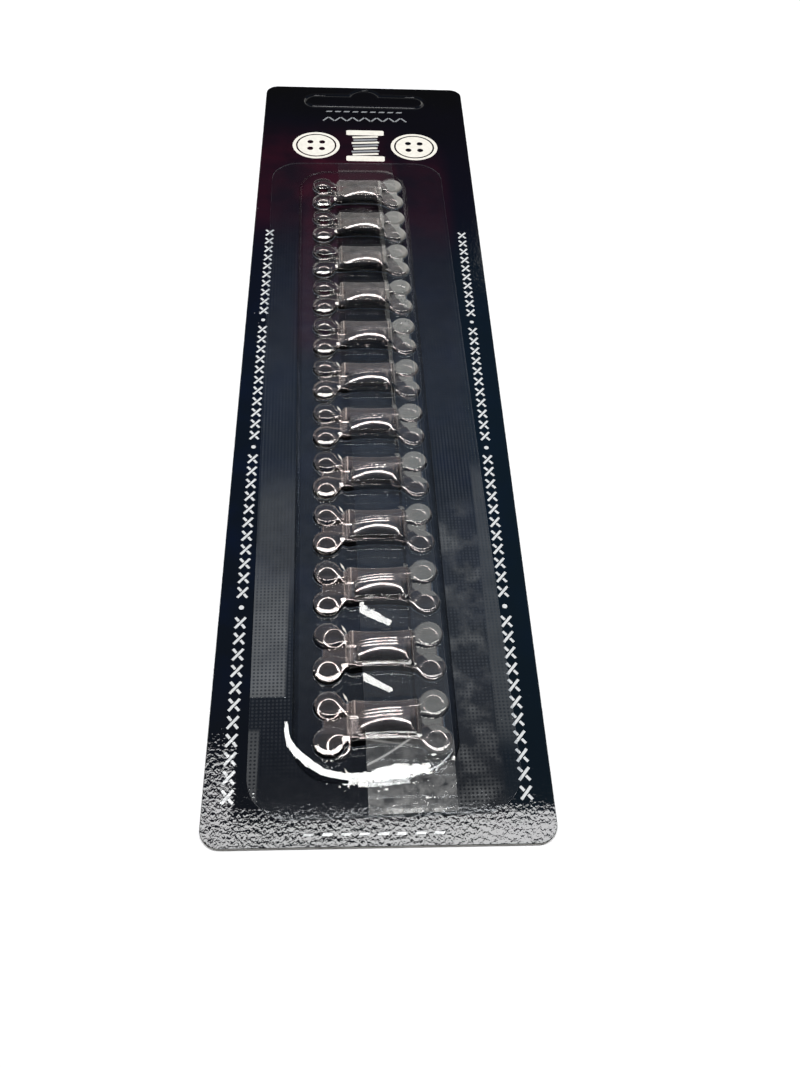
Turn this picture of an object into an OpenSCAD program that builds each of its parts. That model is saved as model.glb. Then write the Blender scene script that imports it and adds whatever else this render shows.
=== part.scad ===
// Twelve hook and eye clasps sealed under a clear blister on a retail card.
// X runs across the card, Y along it towards the hang slot, Z up. The origin is the
// middle of the card's underside. Millimetres.

/* [Card] */
// Width of the card
card_w = 50; // [48:0.5:56]
// Length of the card
card_l = 200; // [198:1:215]
// Thickness of the board
card_t = 0.5; // [0.4:0.05:0.7]
// Radius of the card's corners
card_r = 3; // [2:0.5:5]

/* [Hang slot, pressed outline] */
// Width of the euro slot
slot_w = 30; // [26:0.5:34]
// Height of the slot's long part
slot_h = 5.2; // [4:0.2:6]
// Diameter of the round hump in its middle
slot_hump_d = 8; // [7.4:0.2:8.4]
// Distance of the slot's centre line from the card's top edge
slot_down = 6.8; // [6.7:0.1:9]
// Width of the pressed line
slot_line = 0.3; // [0.2:0.05:0.5]
// Depth of the pressed line
slot_deep = 0.2; // [0.1:0.05:0.25]

/* [Blister] */
// Thickness of the clear film
film_t = 0.25; // [0.2:0.05:0.3]
// Width of the sealed flange
flange_w = 39.6; // [37:0.2:42]
// Length of the sealed flange
flange_l = 161; // [159:0.5:164]
// Corner radius of the flange
flange_r = 6.5; // [4:0.5:9]
// Turn of the blister on the card, in degrees
skew = 1.15; // [0:0.05:1.5]
// Width of the raised platform
plat_w = 24.6; // [24:0.1:26]
// Length of the raised platform
plat_l = 151.8; // [150:0.2:154]
// Corner radius of the platform
plat_r = 6.5; // [4:0.5:8]
// Height of the platform above the card's face
plat_top = 1.2; // [1.15:0.05:1.4]
// Height of the pocket over the hook's two rings
left_top = 2.35; // [2.1:0.05:2.6]
// Height of the pocket over the tongue
body_top = 3.25; // [3.2:0.05:3.6]
// Height of the pocket over the eye's two rings
right_top = 2.65; // [2.45:0.05:2.9]
// Height of the pocket between two rings
web_top = 1.75; // [1.65:0.05:1.9]

/* [Clear strip] */
// Width of the clear strip
strip_w = 12.7; // [12:0.1:13.4]
// Thickness of the clear strip
strip_t = 0.1; // [0.08:0.01:0.14]
// Turn of the strip on the card, in degrees
strip_skew = 1.8; // [1:0.1:2]

/* [Clasps] */
// Distance from one clasp to the next
pitch = 12.07; // [12.05:0.01:12.1]
// Half of the distance between the hook's rings and the eye's rings
half_l = 7.85; // [7.8:0.01:7.9]
// Spacing of the hook's two rings
hook_sp = 6; // [5.9:0.05:6.05]
// Spacing of the eye's two rings
bar_sp = 5.9; // [5.8:0.05:5.95]
// Diameter of the wire
wire_d = 0.8; // [0.7:0.05:0.85]
// Radius of each ring, to the middle of its wire
ring_r = 1.6; // [1.5:0.02:1.62]
// Thickness of the hook's flat metal
hook_t = 0.75; // [0.6:0.05:0.8]
// Width of the hook's shank and tongue
hook_w = 4.4; // [4:0.1:4.5]
// Height of the middle of the tongue's metal at its peak, above the card's face
peak_z = 2.35; // [2.2:0.05:2.4]
// Radius of the tongue's arch
arch_r = 15.6; // [15:0.2:20]

/* [Hidden] */
$fn = 48;

n = 12;
gap = 0.03;                       // gap between pieces that lie on each other
group_at = [-0.6, -15.3];         // middle of the blister on the card
plat_at = [-1.1, 0.4];            // middle of the platform, from the blister's middle
unit_x = -0.15;                   // middle of each clasp, from the blister's middle
first_y = 66;                     // first clasp, from the blister's middle
strip_at = [2.3, -15.3];          // middle of the clear strip on the card
lobe_l = 2.4;                     // radius of the pocket's lobes over the hook's rings
lobe_r = 2.45;                    // radius of the lobes over the eye's rings
neck_v = 3.05;                    // half width of the pocket at the hook's neck
waist_v = 3.65;                   // half width of the pocket over the tongue
body_u = [-4.3, 5.6];             // ends of the pocket's highest part
z0 = card_t + gap;                // underside of what lies on the card
peak_u = 2.1;                     // where the tongue is highest
tip_u = -3.4;                     // the tongue's free end
arch_end = 6;                     // slope of the tongue where the fold begins, degrees
slit = 0.1;                       // play of the cross bar inside the fold

// How each clasp lies in its pocket: moved along X and Y, turned in degrees.
//        dx     dy    turn
lies = [[ 0.00,  0.00,  0.5],
        [ 0.03, -0.02, -0.5],
        [-0.03,  0.02,  0.3],
        [ 0.02,  0.00, -0.3],
        [ 0.00,  0.03,  0.6],
        [-0.02,  0.00, -0.6],
        [ 0.03,  0.00,  0.2],
        [ 0.00, -0.03,  0.5],
        [-0.03,  0.02, -0.4],
        [ 0.02,  0.00,  0.4],
        [ 0.04,  0.02, -0.8],
        [ 0.05, -0.03,  0.8]];
// How far the hook's upper and lower ring are bent out of place, along X.
//        upper  lower
bent = [[ 0, 0], [ 0, 0], [ 0, 0], [ 0, 0], [ 0, 0], [ 0, 0],
        [ 0, 0], [ 0, 0], [ 0, 0], [ 0, 0], [ 0.9, 0], [ 0, 1.3]];

function unit_y(k) = first_y - k * pitch;

module in_blister() {
    translate([group_at[0], group_at[1], 0]) rotate(skew) children();
}
module in_pocket(k) {
    in_blister() translate([unit_x + lies[k][0], unit_y(k) + lies[k][1], 0])
        rotate(lies[k][2]) children();
}

// --- card -------------------------------------------------------------------
module rounded(w, l, r) {
    union() {
        square([w - 2 * r, l], center = true);
        square([w, l - 2 * r], center = true);
        for (sx = [-1, 1], sy = [-1, 1])
            translate([sx * (w / 2 - r), sy * (l / 2 - r)]) circle(r = r);
    }
}
module slot_plan(grow) {
    h = slot_h / 2 + grow;
    union() {
        square([slot_w - slot_h, 2 * h], center = true);
        for (s = [-1, 1]) translate([s * (slot_w - slot_h) / 2, 0]) circle(r = h);
        translate([0, (slot_hump_d - slot_h) / 2]) circle(r = slot_hump_d / 2 + grow);
    }
}
module card() {
    color([0.05, 0.06, 0.12]) difference() {
        linear_extrude(card_t) rounded(card_w, card_l, card_r);
        translate([0, card_l / 2 - slot_down, card_t - slot_deep])
            linear_extrude(slot_deep + 1) difference() {
                slot_plan(slot_line / 2);
                slot_plan(-slot_line / 2);
            }
    }
}

// --- blister ----------------------------------------------------------------
// Outline pieces of one pocket; i is how far the outline is moved inwards.
module flare(cu, cv, r, line_v, f, i) {
    // fills the corner between a lobe and the straight side at line_v
    s = sign(cu);
    fv = line_v + f;
    du = sqrt(pow(r + f, 2) - pow(fv - cv, 2));
    t = (r - i) / (r + f);
    for (m = [0, 1]) mirror([0, m]) difference() {
        polygon([[cu, cv], [cu - s * du * t, cv + (fv - cv) * t],
            [cu - s * du, fv], [cu - s * du, cv - 0.6], [cu, cv - 0.6]]);
        translate([cu - s * du, fv]) circle(r = f + i);
    }
}
module left_plan(i) {
    for (s = [-1, 1]) translate([-half_l, s * hook_sp / 2]) circle(r = lobe_l - i);
    for (m = [0, 1]) mirror([0, m])
        translate([-half_l + 0.8, 0.9 + i])
            square([half_l - 0.8 + body_u[0] + 0.4, neck_v - 0.9 - 2 * i]);
    flare(-half_l, hook_sp / 2, lobe_l, neck_v, 0.9, i);
}
module left_web_plan(i) {
    translate([-half_l - 1.1 + i, -2.4])
        square([half_l + 1.1 + body_u[0] + 0.4, 4.8]);
}
module body_plan(i) {
    translate([body_u[0] + i, -waist_v + i])
        square([body_u[1] - body_u[0] - 2 * i, 2 * (waist_v - i)]);
}
module right_plan(i) {
    for (s = [-1, 1]) translate([half_l + 0.1, s * bar_sp / 2]) circle(r = lobe_r - i);
    for (m = [0, 1]) mirror([0, m])
        translate([body_u[1] - 0.4, 0.9 + i])
            square([half_l - body_u[1] + 0.5, waist_v - 0.9 - 2 * i]);
    flare(half_l + 0.1, bar_sp / 2, lobe_r, waist_v, 1.5, i);
}
module right_web_plan(i) {
    translate([body_u[1] - 0.4, -2.4])
        square([half_l + 1.6 - body_u[1] - i, 4.8]);
}
module pockets(i) {
    for (k = [0 : n - 1]) translate([unit_x, unit_y(k)]) children();
}
module film_solid(i) {
    // the outer form of the blister, or its hollow when i is the film's thickness
    base = i > 0 ? -1 : 0;
    translate([0, 0, z0 + base]) {
        linear_extrude(plat_top - gap - i - base) translate(plat_at)
            rounded(plat_w - 2 * i, plat_l - 2 * i, plat_r - i);
        linear_extrude(left_top - gap - i - base) pockets() left_plan(i);
        linear_extrude(web_top - gap - i - base) pockets() {
            left_web_plan(i);
            right_web_plan(i);
        }
        linear_extrude(right_top - gap - i - base) pockets() right_plan(i);
        linear_extrude(body_top - gap - i - base) pockets() body_plan(i);
    }
}
module blister() {
    color([0.75, 0.8, 0.85, 0.4]) in_blister() difference() {
        union() {
            translate([0, 0, z0]) linear_extrude(film_t)
                rounded(flange_w, flange_l, flange_r);
            film_solid(0);
        }
        film_solid(film_t);
    }
}

// --- clear strip --------------------------------------------------------------
// Height of the strip's underside along its length: over each pocket it lies on the
// roof, between two pockets it sags, and at both ends it comes down to the flange.
function strip_path() = let (
        top = card_t + body_top + 0.05,
        half = waist_v + 0.35,
        y1 = unit_y(0), y2 = unit_y(n - 1),
        pe = plat_at[1] + plat_l / 2, pb = plat_at[1] - plat_l / 2)
    concat(
        [[flange_l / 2 - 0.3, z0 + film_t + gap], [pe + 0.8, z0 + film_t + gap],
         [pe + 0.25, card_t + plat_top + gap + 0.1]],
        [for (k = [0 : n - 1]) each [
            [unit_y(k) + half, top], [unit_y(k) - half, top],
            if (k < n - 1) [unit_y(k) - pitch / 2, top - 0.45]]],
        [[pb - 0.25, card_t + plat_top + gap + 0.1], [pb - 0.8, z0 + film_t + gap],
         [-flange_l / 2 + 0.3, z0 + film_t + gap]]);
module film_strip() {
    p = strip_path();
    m = len(p);
    color([0.85, 0.9, 0.95, 0.3])
    translate([strip_at[0], strip_at[1], 0]) rotate(strip_skew)
        translate([-strip_w / 2, 0, 0]) rotate([90, 0, 90]) linear_extrude(strip_w)
            polygon(concat(p, [for (j = [m - 1 : -1 : 0]) [p[j][0], p[j][1] + strip_t]]));
}

// --- hook -----------------------------------------------------------------------
z_low = z0 + hook_t / 2;                              // middle of the shank's metal
z_peak = card_t + peak_z;
fold_r = (z_peak - arch_r * (1 - cos(arch_end)) - z_low) / (1 + cos(arch_end));
fold_u = peak_u + (arch_r - fold_r) * sin(arch_end);
bar_u = fold_u + fold_r - hook_t / 2 - wire_d / 2 - slit;
bar_z = z_low + fold_r;
shank_u = -5.2;                                       // where the shank begins

// Side view of the metal: shank, fold and arched tongue, o from its middle line.
function side(o) = concat(
    [[shank_u, z_low - o]],
    [for (a = [-90 : 8 : 84 - 0.01]) [fold_u + (fold_r + o) * cos(a), bar_z + (fold_r + o) * sin(a)]],
    [for (j = [0 : 10]) let (u1 = arch_end, u2 = -asin((peak_u - tip_u) / arch_r),
        a = u1 + (u2 - u1) * j / 10)
        [peak_u + (arch_r + o) * sin(a), z_peak - arch_r + (arch_r + o) * cos(a)]]);
module side_solid(w) {
    a = side(hook_t / 2);
    b = side(-hook_t / 2);
    m = len(b);
    translate([0, w / 2, 0]) rotate([90, 0, 0]) linear_extrude(w)
        polygon(concat(a, [for (j = [m - 1 : -1 : 0]) b[j]]));
}
// A straight arm from a point to where it touches a ring; t is the side it passes.
function touch(c, p, r, t) = let (d = norm(p - c), b = atan2(p[1] - c[1], p[0] - c[0]))
    c + r * [cos(b + t * acos(r / d)), sin(b + t * acos(r / d))];
module arm(p, q, w) {
    d = norm(q - p);
    translate(p) rotate(atan2(q[1] - p[1], q[0] - p[0])) translate([-w * 0.4, -w / 2])
        square([d + w * 0.4, w]);
}
module hook(k) {
    up = [-half_l + bent[k][0], hook_sp / 2];
    low = [-half_l + bent[k][1], -hook_sp / 2];
    p = [shank_u + 0.3, 1.75];
    color([0.42, 0.38, 0.38]) in_pocket(k) union() {
        translate([0, 0, z0]) linear_extrude(wire_d) difference() {
            union() {
                translate(up) circle(r = ring_r + wire_d / 2);
                translate(low) circle(r = ring_r + wire_d / 2);
                arm(p, touch(up, p, ring_r, 1), wire_d);
                arm([p[0], -p[1]], touch(low, [p[0], -p[1]], ring_r, -1), wire_d);
                translate([shank_u, -hook_w / 2]) square([1.2, hook_w]);
            }
            translate(up) circle(r = ring_r - wire_d / 2);
            translate(low) circle(r = ring_r - wire_d / 2);
        }
        side_solid(hook_w);
    }
}

// --- eye ------------------------------------------------------------------------
drop = asin((bar_z - z0 - wire_d / 2 - 0.06) / (half_l + 0.1 + ring_r - bar_u));
meet = 175;                       // where each arm meets its ring, degrees
module bar(k) {
    c = [half_l + 0.1 - bar_u, bar_sp / 2];
    e = hook_w / 2 + 0.1 + wire_d / 2;
    p = [0, e];
    color([0.42, 0.38, 0.38]) in_pocket(k) translate([bar_u, 0, bar_z])
        rotate([0, drop, 0]) union() {
            translate([0, e, 0]) rotate([90, 0, 0]) cylinder(d = wire_d, h = 2 * e);
            translate([0, 0, -wire_d / 2]) linear_extrude(wire_d) difference() {
                union() for (s = [-1, 1]) {
                    translate([c[0], s * c[1]]) circle(r = ring_r + wire_d / 2);
                    arm([p[0], s * p[1]], [c[0] + ring_r * cos(meet), s * (c[1] + ring_r * sin(meet))], wire_d);
                }
                for (s = [-1, 1]) translate([c[0], s * c[1]]) circle(r = ring_r - wire_d / 2);
            }
        }
}

card();
blister();
film_strip();
hook(0);  // hook_01
hook(1);  // hook_02
hook(2);  // hook_03
hook(3);  // hook_04
hook(4);  // hook_05
hook(5);  // hook_06
hook(6);  // hook_07
hook(7);  // hook_08
hook(8);  // hook_09
hook(9);  // hook_10
hook(10);  // hook_11
hook(11);  // hook_12
bar(0);  // bar_01
bar(1);  // bar_02
bar(2);  // bar_03
bar(3);  // bar_04
bar(4);  // bar_05
bar(5);  // bar_06
bar(6);  // bar_07
bar(7);  // bar_08
bar(8);  // bar_09
bar(9);  // bar_10
bar(10);  // bar_11
bar(11);  // bar_12
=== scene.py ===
"""Hook and eye clasps sealed under a clear blister on a retail card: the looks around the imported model.

Lengths are in millimetres until a mesh is made. X runs across the card, Y towards the hang slot, Z up.
"""
import math

import bpy
import numpy as np
from mathutils import Matrix, Vector
from mathutils.geometry import delaunay_2d_cdt


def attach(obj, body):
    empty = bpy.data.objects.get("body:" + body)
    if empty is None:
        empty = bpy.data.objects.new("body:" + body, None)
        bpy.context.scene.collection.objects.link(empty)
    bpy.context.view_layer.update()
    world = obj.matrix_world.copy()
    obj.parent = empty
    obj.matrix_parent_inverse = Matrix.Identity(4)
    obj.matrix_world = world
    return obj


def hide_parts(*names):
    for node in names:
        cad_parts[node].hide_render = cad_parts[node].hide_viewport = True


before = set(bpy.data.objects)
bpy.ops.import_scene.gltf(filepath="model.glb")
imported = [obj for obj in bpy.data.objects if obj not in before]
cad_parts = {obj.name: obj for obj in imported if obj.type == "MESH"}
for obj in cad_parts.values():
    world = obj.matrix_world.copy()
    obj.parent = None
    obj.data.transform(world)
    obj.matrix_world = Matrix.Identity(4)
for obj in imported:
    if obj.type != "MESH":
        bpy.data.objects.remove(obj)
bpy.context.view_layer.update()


scene = bpy.context.scene

# ---------------------------------------------------------------------------- sizes
CARD_W, CARD_L, CARD_T, CARD_R = 50.0, 200.0, 0.5, 3.0
SLOT_W, SLOT_H, SLOT_HUMP, SLOT_Y = 30.0, 5.2, 8.0, 93.2
FLANGE_W, FLANGE_L, FLANGE_R = 39.6, 161.0, 6.5
GROUP_AT, SKEW = (-0.6, -15.3), 1.15
PLAT_AT, PLAT_W, PLAT_L, PLAT_R, PLAT_TOP = (-1.1, 0.4), 24.6, 151.8, 6.5, 1.2
FILM_T, GAP = 0.25, 0.03
UNITS, UNIT_X, FIRST_Y, PITCH = 12, -0.15, 66.0, 12.07
STRIP_AT, STRIP_SKEW, STRIP_W, STRIP_L, STRIP_T = (2.3, -15.3), 1.8, 12.7, 160.4, 0.1
HALF_L, HOOK_SP, BAR_SP, RING_R, WIRE = 7.85, 6.0, 5.9, 1.6, 0.8
HOOK_T, HOOK_W = 0.75, 4.4
Z0 = CARD_T + GAP
Z_LOW = Z0 + HOOK_T / 2
Z_PEAK, PEAK_U, TIP_U, ARCH_R, ARCH_END = CARD_T + 2.35, 2.1, -3.4, 15.6, math.radians(6)
FOLD_R = (Z_PEAK - ARCH_R * (1 - math.cos(ARCH_END)) - Z_LOW) / (1 + math.cos(ARCH_END))
FOLD_U = PEAK_U + (ARCH_R - FOLD_R) * math.sin(ARCH_END)
BAR_U = FOLD_U + FOLD_R - HOOK_T / 2 - WIRE / 2 - 0.1
BAR_Z = Z_LOW + FOLD_R
DROP = math.asin((BAR_Z - Z0 - WIRE / 2 - 0.06) / (HALF_L + 0.1 + RING_R - BAR_U))
# how each clasp lies in its pocket: moved along X and Y, turned in degrees,
# and how far its upper and lower ring are bent along X
LIES = [
    (0.00, 0.00, 0.5, 0, 0), (0.03, -0.02, -0.5, 0, 0), (-0.03, 0.02, 0.3, 0, 0),
    (0.02, 0.00, -0.3, 0, 0), (0.00, 0.03, 0.6, 0, 0), (-0.02, 0.00, -0.6, 0, 0),
    (0.03, 0.00, 0.2, 0, 0), (0.00, -0.03, 0.5, 0, 0), (-0.03, 0.02, -0.4, 0, 0),
    (0.02, 0.00, 0.4, 0, 0), (0.04, 0.02, -0.8, 0.9, 0), (0.05, -0.03, 0.8, 0, 1.3),
]


def unit_y(k):
    return FIRST_Y - k * PITCH


def turned(xy, deg):
    c, s = math.cos(math.radians(deg)), math.sin(math.radians(deg))
    xy = np.asarray(xy, float)
    return np.stack([c * xy[..., 0] - s * xy[..., 1], s * xy[..., 0] + c * xy[..., 1]], -1)


def blister_to_card(xy):
    return turned(xy, SKEW) + np.array(GROUP_AT)


def card_to_blister(xy):
    return turned(np.asarray(xy, float) - np.array(GROUP_AT), -SKEW)


def strip_to_card(xy):
    return turned(xy, STRIP_SKEW) + np.array(STRIP_AT)


def pocket_to_card(co, k):
    """Points in clasp k's own frame, moved to where it lies on the card."""
    dx, dy, turn = LIES[k][:3]
    co = np.asarray(co, float)
    xy = turned(co[:, :2], turn) + np.array([UNIT_X + dx, unit_y(k) + dy])
    return np.column_stack([blister_to_card(xy), co[:, 2]])


# ---------------------------------------------------------------------------- meshes
def make_mesh(name, co, faces, materials, slots=None, smooth=True):
    """A mesh object from points in mm and faces, with a material for each face."""
    me = bpy.data.meshes.new(name)
    co = np.asarray(co, float) * 0.001
    tri = isinstance(faces, np.ndarray)
    total = len(faces)
    me.vertices.add(len(co))
    me.vertices.foreach_set("co", co.ravel())
    if tri:
        size = np.full(total, faces.shape[1], np.int32)
        loops = faces.ravel().astype(np.int32)
    else:
        size = np.array([len(f) for f in faces], np.int32)
        loops = np.concatenate([np.asarray(f, np.int32) for f in faces])
    me.loops.add(len(loops))
    me.loops.foreach_set("vertex_index", loops)
    me.polygons.add(total)
    start = np.concatenate([[0], np.cumsum(size)[:-1]]).astype(np.int32)
    me.polygons.foreach_set("loop_start", start)
    me.polygons.foreach_set("loop_total", size)
    for m in materials:
        me.materials.append(m)
    if slots is not None:
        me.polygons.foreach_set("material_index", np.asarray(slots, np.int32))
    me.polygons.foreach_set("use_smooth", np.full(total, smooth))
    me.update(calc_edges=True)
    me.validate()
    ob = bpy.data.objects.new(name, me)
    scene.collection.objects.link(ob)
    return ob


def arrays_of(me):
    """(points in mm, triangles) of a mesh whose faces are all triangles."""
    co = np.empty(len(me.vertices) * 3)
    me.vertices.foreach_get("co", co)
    tri = np.empty(len(me.loops), np.int32)
    me.loops.foreach_get("vertex_index", tri)
    return co.reshape(-1, 3) * 1000, tri.reshape(-1, 3)


def through(ob, *mods):
    """ob's mesh after some modifiers, each (type, settings); ob itself is removed."""
    for kind, settings in mods:
        m = ob.modifiers.new(kind.lower(), kind)
        for key, value in settings.items():
            setattr(m, key, value)
    bpy.context.view_layer.update()
    me = bpy.data.meshes.new_from_object(ob.evaluated_get(bpy.context.evaluated_depsgraph_get()))
    bpy.data.objects.remove(ob)
    return me


def grid_faces(rows, cols, close=False):
    """Quads between the points of a grid, row by row; close joins the last column to the first."""
    r = np.arange(rows - 1)[:, None]
    c = np.arange(cols if close else cols - 1)[None, :]
    n = (c + 1) % cols
    a, b = r * cols + c, r * cols + n
    return np.stack([a, b, b + cols, a + cols], -1).reshape(-1, 4)


def tube(path, radius, sides=14):
    """A closed round tube along a path, with gently domed ends."""
    path = np.asarray(path, float)
    tan = np.gradient(path, axis=0)
    tan /= np.linalg.norm(tan, axis=1)[:, None]
    side = np.cross(tan[0], [0, 0, 1.0])
    rings = []
    frames = []
    for t in tan:
        side = side - t * np.dot(side, t)
        side /= np.linalg.norm(side)
        frames.append((side, np.cross(t, side)))
    ang = np.arange(sides) * 2 * math.pi / sides
    def ring(p, fr, r):
        return p + r * (np.cos(ang)[:, None] * fr[0] + np.sin(ang)[:, None] * fr[1])

    for a in (80, 55, 28):  # domed start
        c, s = math.cos(math.radians(a)), math.sin(math.radians(a))
        rings.append(ring(path[0] - tan[0] * radius * 0.5 * s, frames[0], radius * c))
    for p, fr in zip(path, frames):
        rings.append(ring(p, fr, radius))
    for a in (28, 55, 80):
        c, s = math.cos(math.radians(a)), math.sin(math.radians(a))
        rings.append(ring(path[-1] + tan[-1] * radius * 0.5 * s, frames[-1], radius * c))
    co = np.concatenate(rings)
    faces = [list(f) for f in grid_faces(len(rings), sides, close=True)]
    faces.append(list(range(sides))[::-1])
    last = (len(rings) - 1) * sides
    faces.append(list(range(last, last + sides)))
    return co, faces


def spline(points, step):
    """A smooth curve through some points (Catmull-Rom), resampled at about step."""
    p = np.asarray(points, float)
    p = np.vstack([2 * p[0] - p[1], p, 2 * p[-1] - p[-2]])
    out = []
    for i in range(1, len(p) - 2):
        t = np.linspace(0, 1, 12, endpoint=False)[:, None]
        a, b, c, d = p[i - 1], p[i], p[i + 1], p[i + 2]
        out.append(0.5 * (2 * b + (c - a) * t + (2 * a - 5 * b + 4 * c - d) * t ** 2
                          + (3 * b - a - 3 * c + d) * t ** 3))
    out.append(p[-2][None])
    q = np.vstack(out)
    s = np.concatenate([[0], np.cumsum(np.linalg.norm(np.diff(q, axis=0), axis=1))])
    n = max(int(s[-1] / step), 2)
    at = np.linspace(0, s[-1], n + 1)
    return np.column_stack([np.interp(at, s, q[:, i]) for i in range(q.shape[1])])


def merged(parts):
    """One (points, faces) from several."""
    co, faces, base = [], [], 0
    for c, f in parts:
        co.append(c)
        faces += [[i + base for i in face] for face in f]
        base += len(c)
    return np.vstack(co), faces


# ---------------------------------------------------------------------------- nodes
class Nodes:
    """A short way to write a node tree."""

    def __init__(self, name):
        self.mat = bpy.data.materials.new(name)
        self.mat.use_nodes = True
        self.nt = self.mat.node_tree
        self.nt.nodes.clear()
        self.out = self.nt.nodes.new("ShaderNodeOutputMaterial")

    def put(self, socket, value):
        if isinstance(value, bpy.types.NodeSocket):
            self.nt.links.new(value, socket)
        elif isinstance(value, (tuple, list)) and socket.type == "RGBA" and len(value) == 3:
            socket.default_value = (*value, 1.0)
        else:
            socket.default_value = value

    def node(self, kind, ins=None, **settings):
        n = self.nt.nodes.new("ShaderNode" + kind)
        for key, value in settings.items():
            setattr(n, key, value)
        for key, value in (ins or {}).items():
            self.put(n.inputs[key], value)
        return n

    def math(self, op, a, b=0.0, c=0.0, clamp=False):
        n = self.nt.nodes.new("ShaderNodeMath")
        n.operation, n.use_clamp = op, clamp
        for s, v in zip(n.inputs, (a, b, c)):
            self.put(s, v)
        return n.outputs[0]

    def coords(self):
        """Position on the card in mm, as (vector, x, y, z)."""
        tc = self.node("TexCoord")
        m = self.node("VectorMath", operation="SCALE")
        self.put(m.inputs[0], tc.outputs["Object"])
        m.inputs["Scale"].default_value = 1000.0
        s = self.node("SeparateXYZ", {0: m.outputs[0]})
        return m.outputs[0], s.outputs[0], s.outputs[1], s.outputs[2]

    def noise(self, vec, scale, detail=3.0, rough=0.55, distortion=0.0):
        n = self.node("TexNoise", {"Vector": vec, "Scale": scale, "Detail": detail,
                                   "Roughness": rough, "Distortion": distortion})
        return n.outputs["Fac"]

    def mapped(self, vec, scale=(1, 1, 1), rot=(0, 0, 0), loc=(0, 0, 0)):
        return self.node("Mapping", {"Vector": vec, "Scale": scale, "Rotation": rot, "Location": loc}).outputs[0]

    def ramp(self, fac, stops, mode="LINEAR"):
        n = self.node("ValToRGB", {"Fac": fac})
        n.color_ramp.interpolation = mode
        els = n.color_ramp.elements
        while len(els) > 1:
            els.remove(els[-1])
        els[0].position, first = stops[0][0], stops[0][1]
        els[0].color = first if len(first) == 4 else (*first, 1)
        for pos, col in stops[1:]:
            e = els.new(pos)
            e.color = col if len(col) == 4 else (*col, 1)
        return n.outputs["Color"]

    def band(self, value, lo, hi, soft):
        """1 between lo and hi, falling off to 0 over soft."""
        a = self.node("MapRange", {"Value": value, "From Min": lo - soft, "From Max": lo}, interpolation_type="SMOOTHSTEP").outputs[0]
        b = self.node("MapRange", {"Value": value, "From Min": hi, "From Max": hi + soft, "To Min": 1.0, "To Max": 0.0}, interpolation_type="SMOOTHSTEP").outputs[0]
        return self.math("MULTIPLY", a, b)

    def mix(self, fac, a, b, blend="MIX"):
        n = self.nt.nodes.new("ShaderNodeMix")
        n.data_type, n.blend_type = "RGBA", blend
        self.put(n.inputs[0], fac)
        self.put(n.inputs[6], a)
        self.put(n.inputs[7], b)
        return n.outputs[2]

    def bump(self, height, distance_mm, strength=1.0, normal=None):
        ins = {"Strength": strength, "Distance": distance_mm * 0.001, "Height": height}
        if normal is not None:
            ins["Normal"] = normal
        return self.node("Bump", ins).outputs[0]

    def principled(self, **ins):
        return self.node("BsdfPrincipled", {k.replace("_", " "): v for k, v in ins.items()})

    def finish(self, shader):
        self.nt.links.new(shader, self.out.inputs["Surface"])
        return self.mat


def pocket_uv(n, x, y):
    """Where on its pocket a point lies: u across the card, v along it, both from the pocket's middle."""
    c, d = math.cos(math.radians(SKEW)), math.sin(math.radians(SKEW))
    px, py = n.math("SUBTRACT", x, GROUP_AT[0]), n.math("SUBTRACT", y, GROUP_AT[1])
    u = n.math("MULTIPLY_ADD", px, c, n.math("MULTIPLY_ADD", py, d, -UNIT_X))
    v = n.math("SUBTRACT", n.math("MULTIPLY", py, c), n.math("MULTIPLY_ADD", px, d, FIRST_Y))
    return u, n.math("WRAP", v, PITCH / 2, -PITCH / 2)


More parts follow.
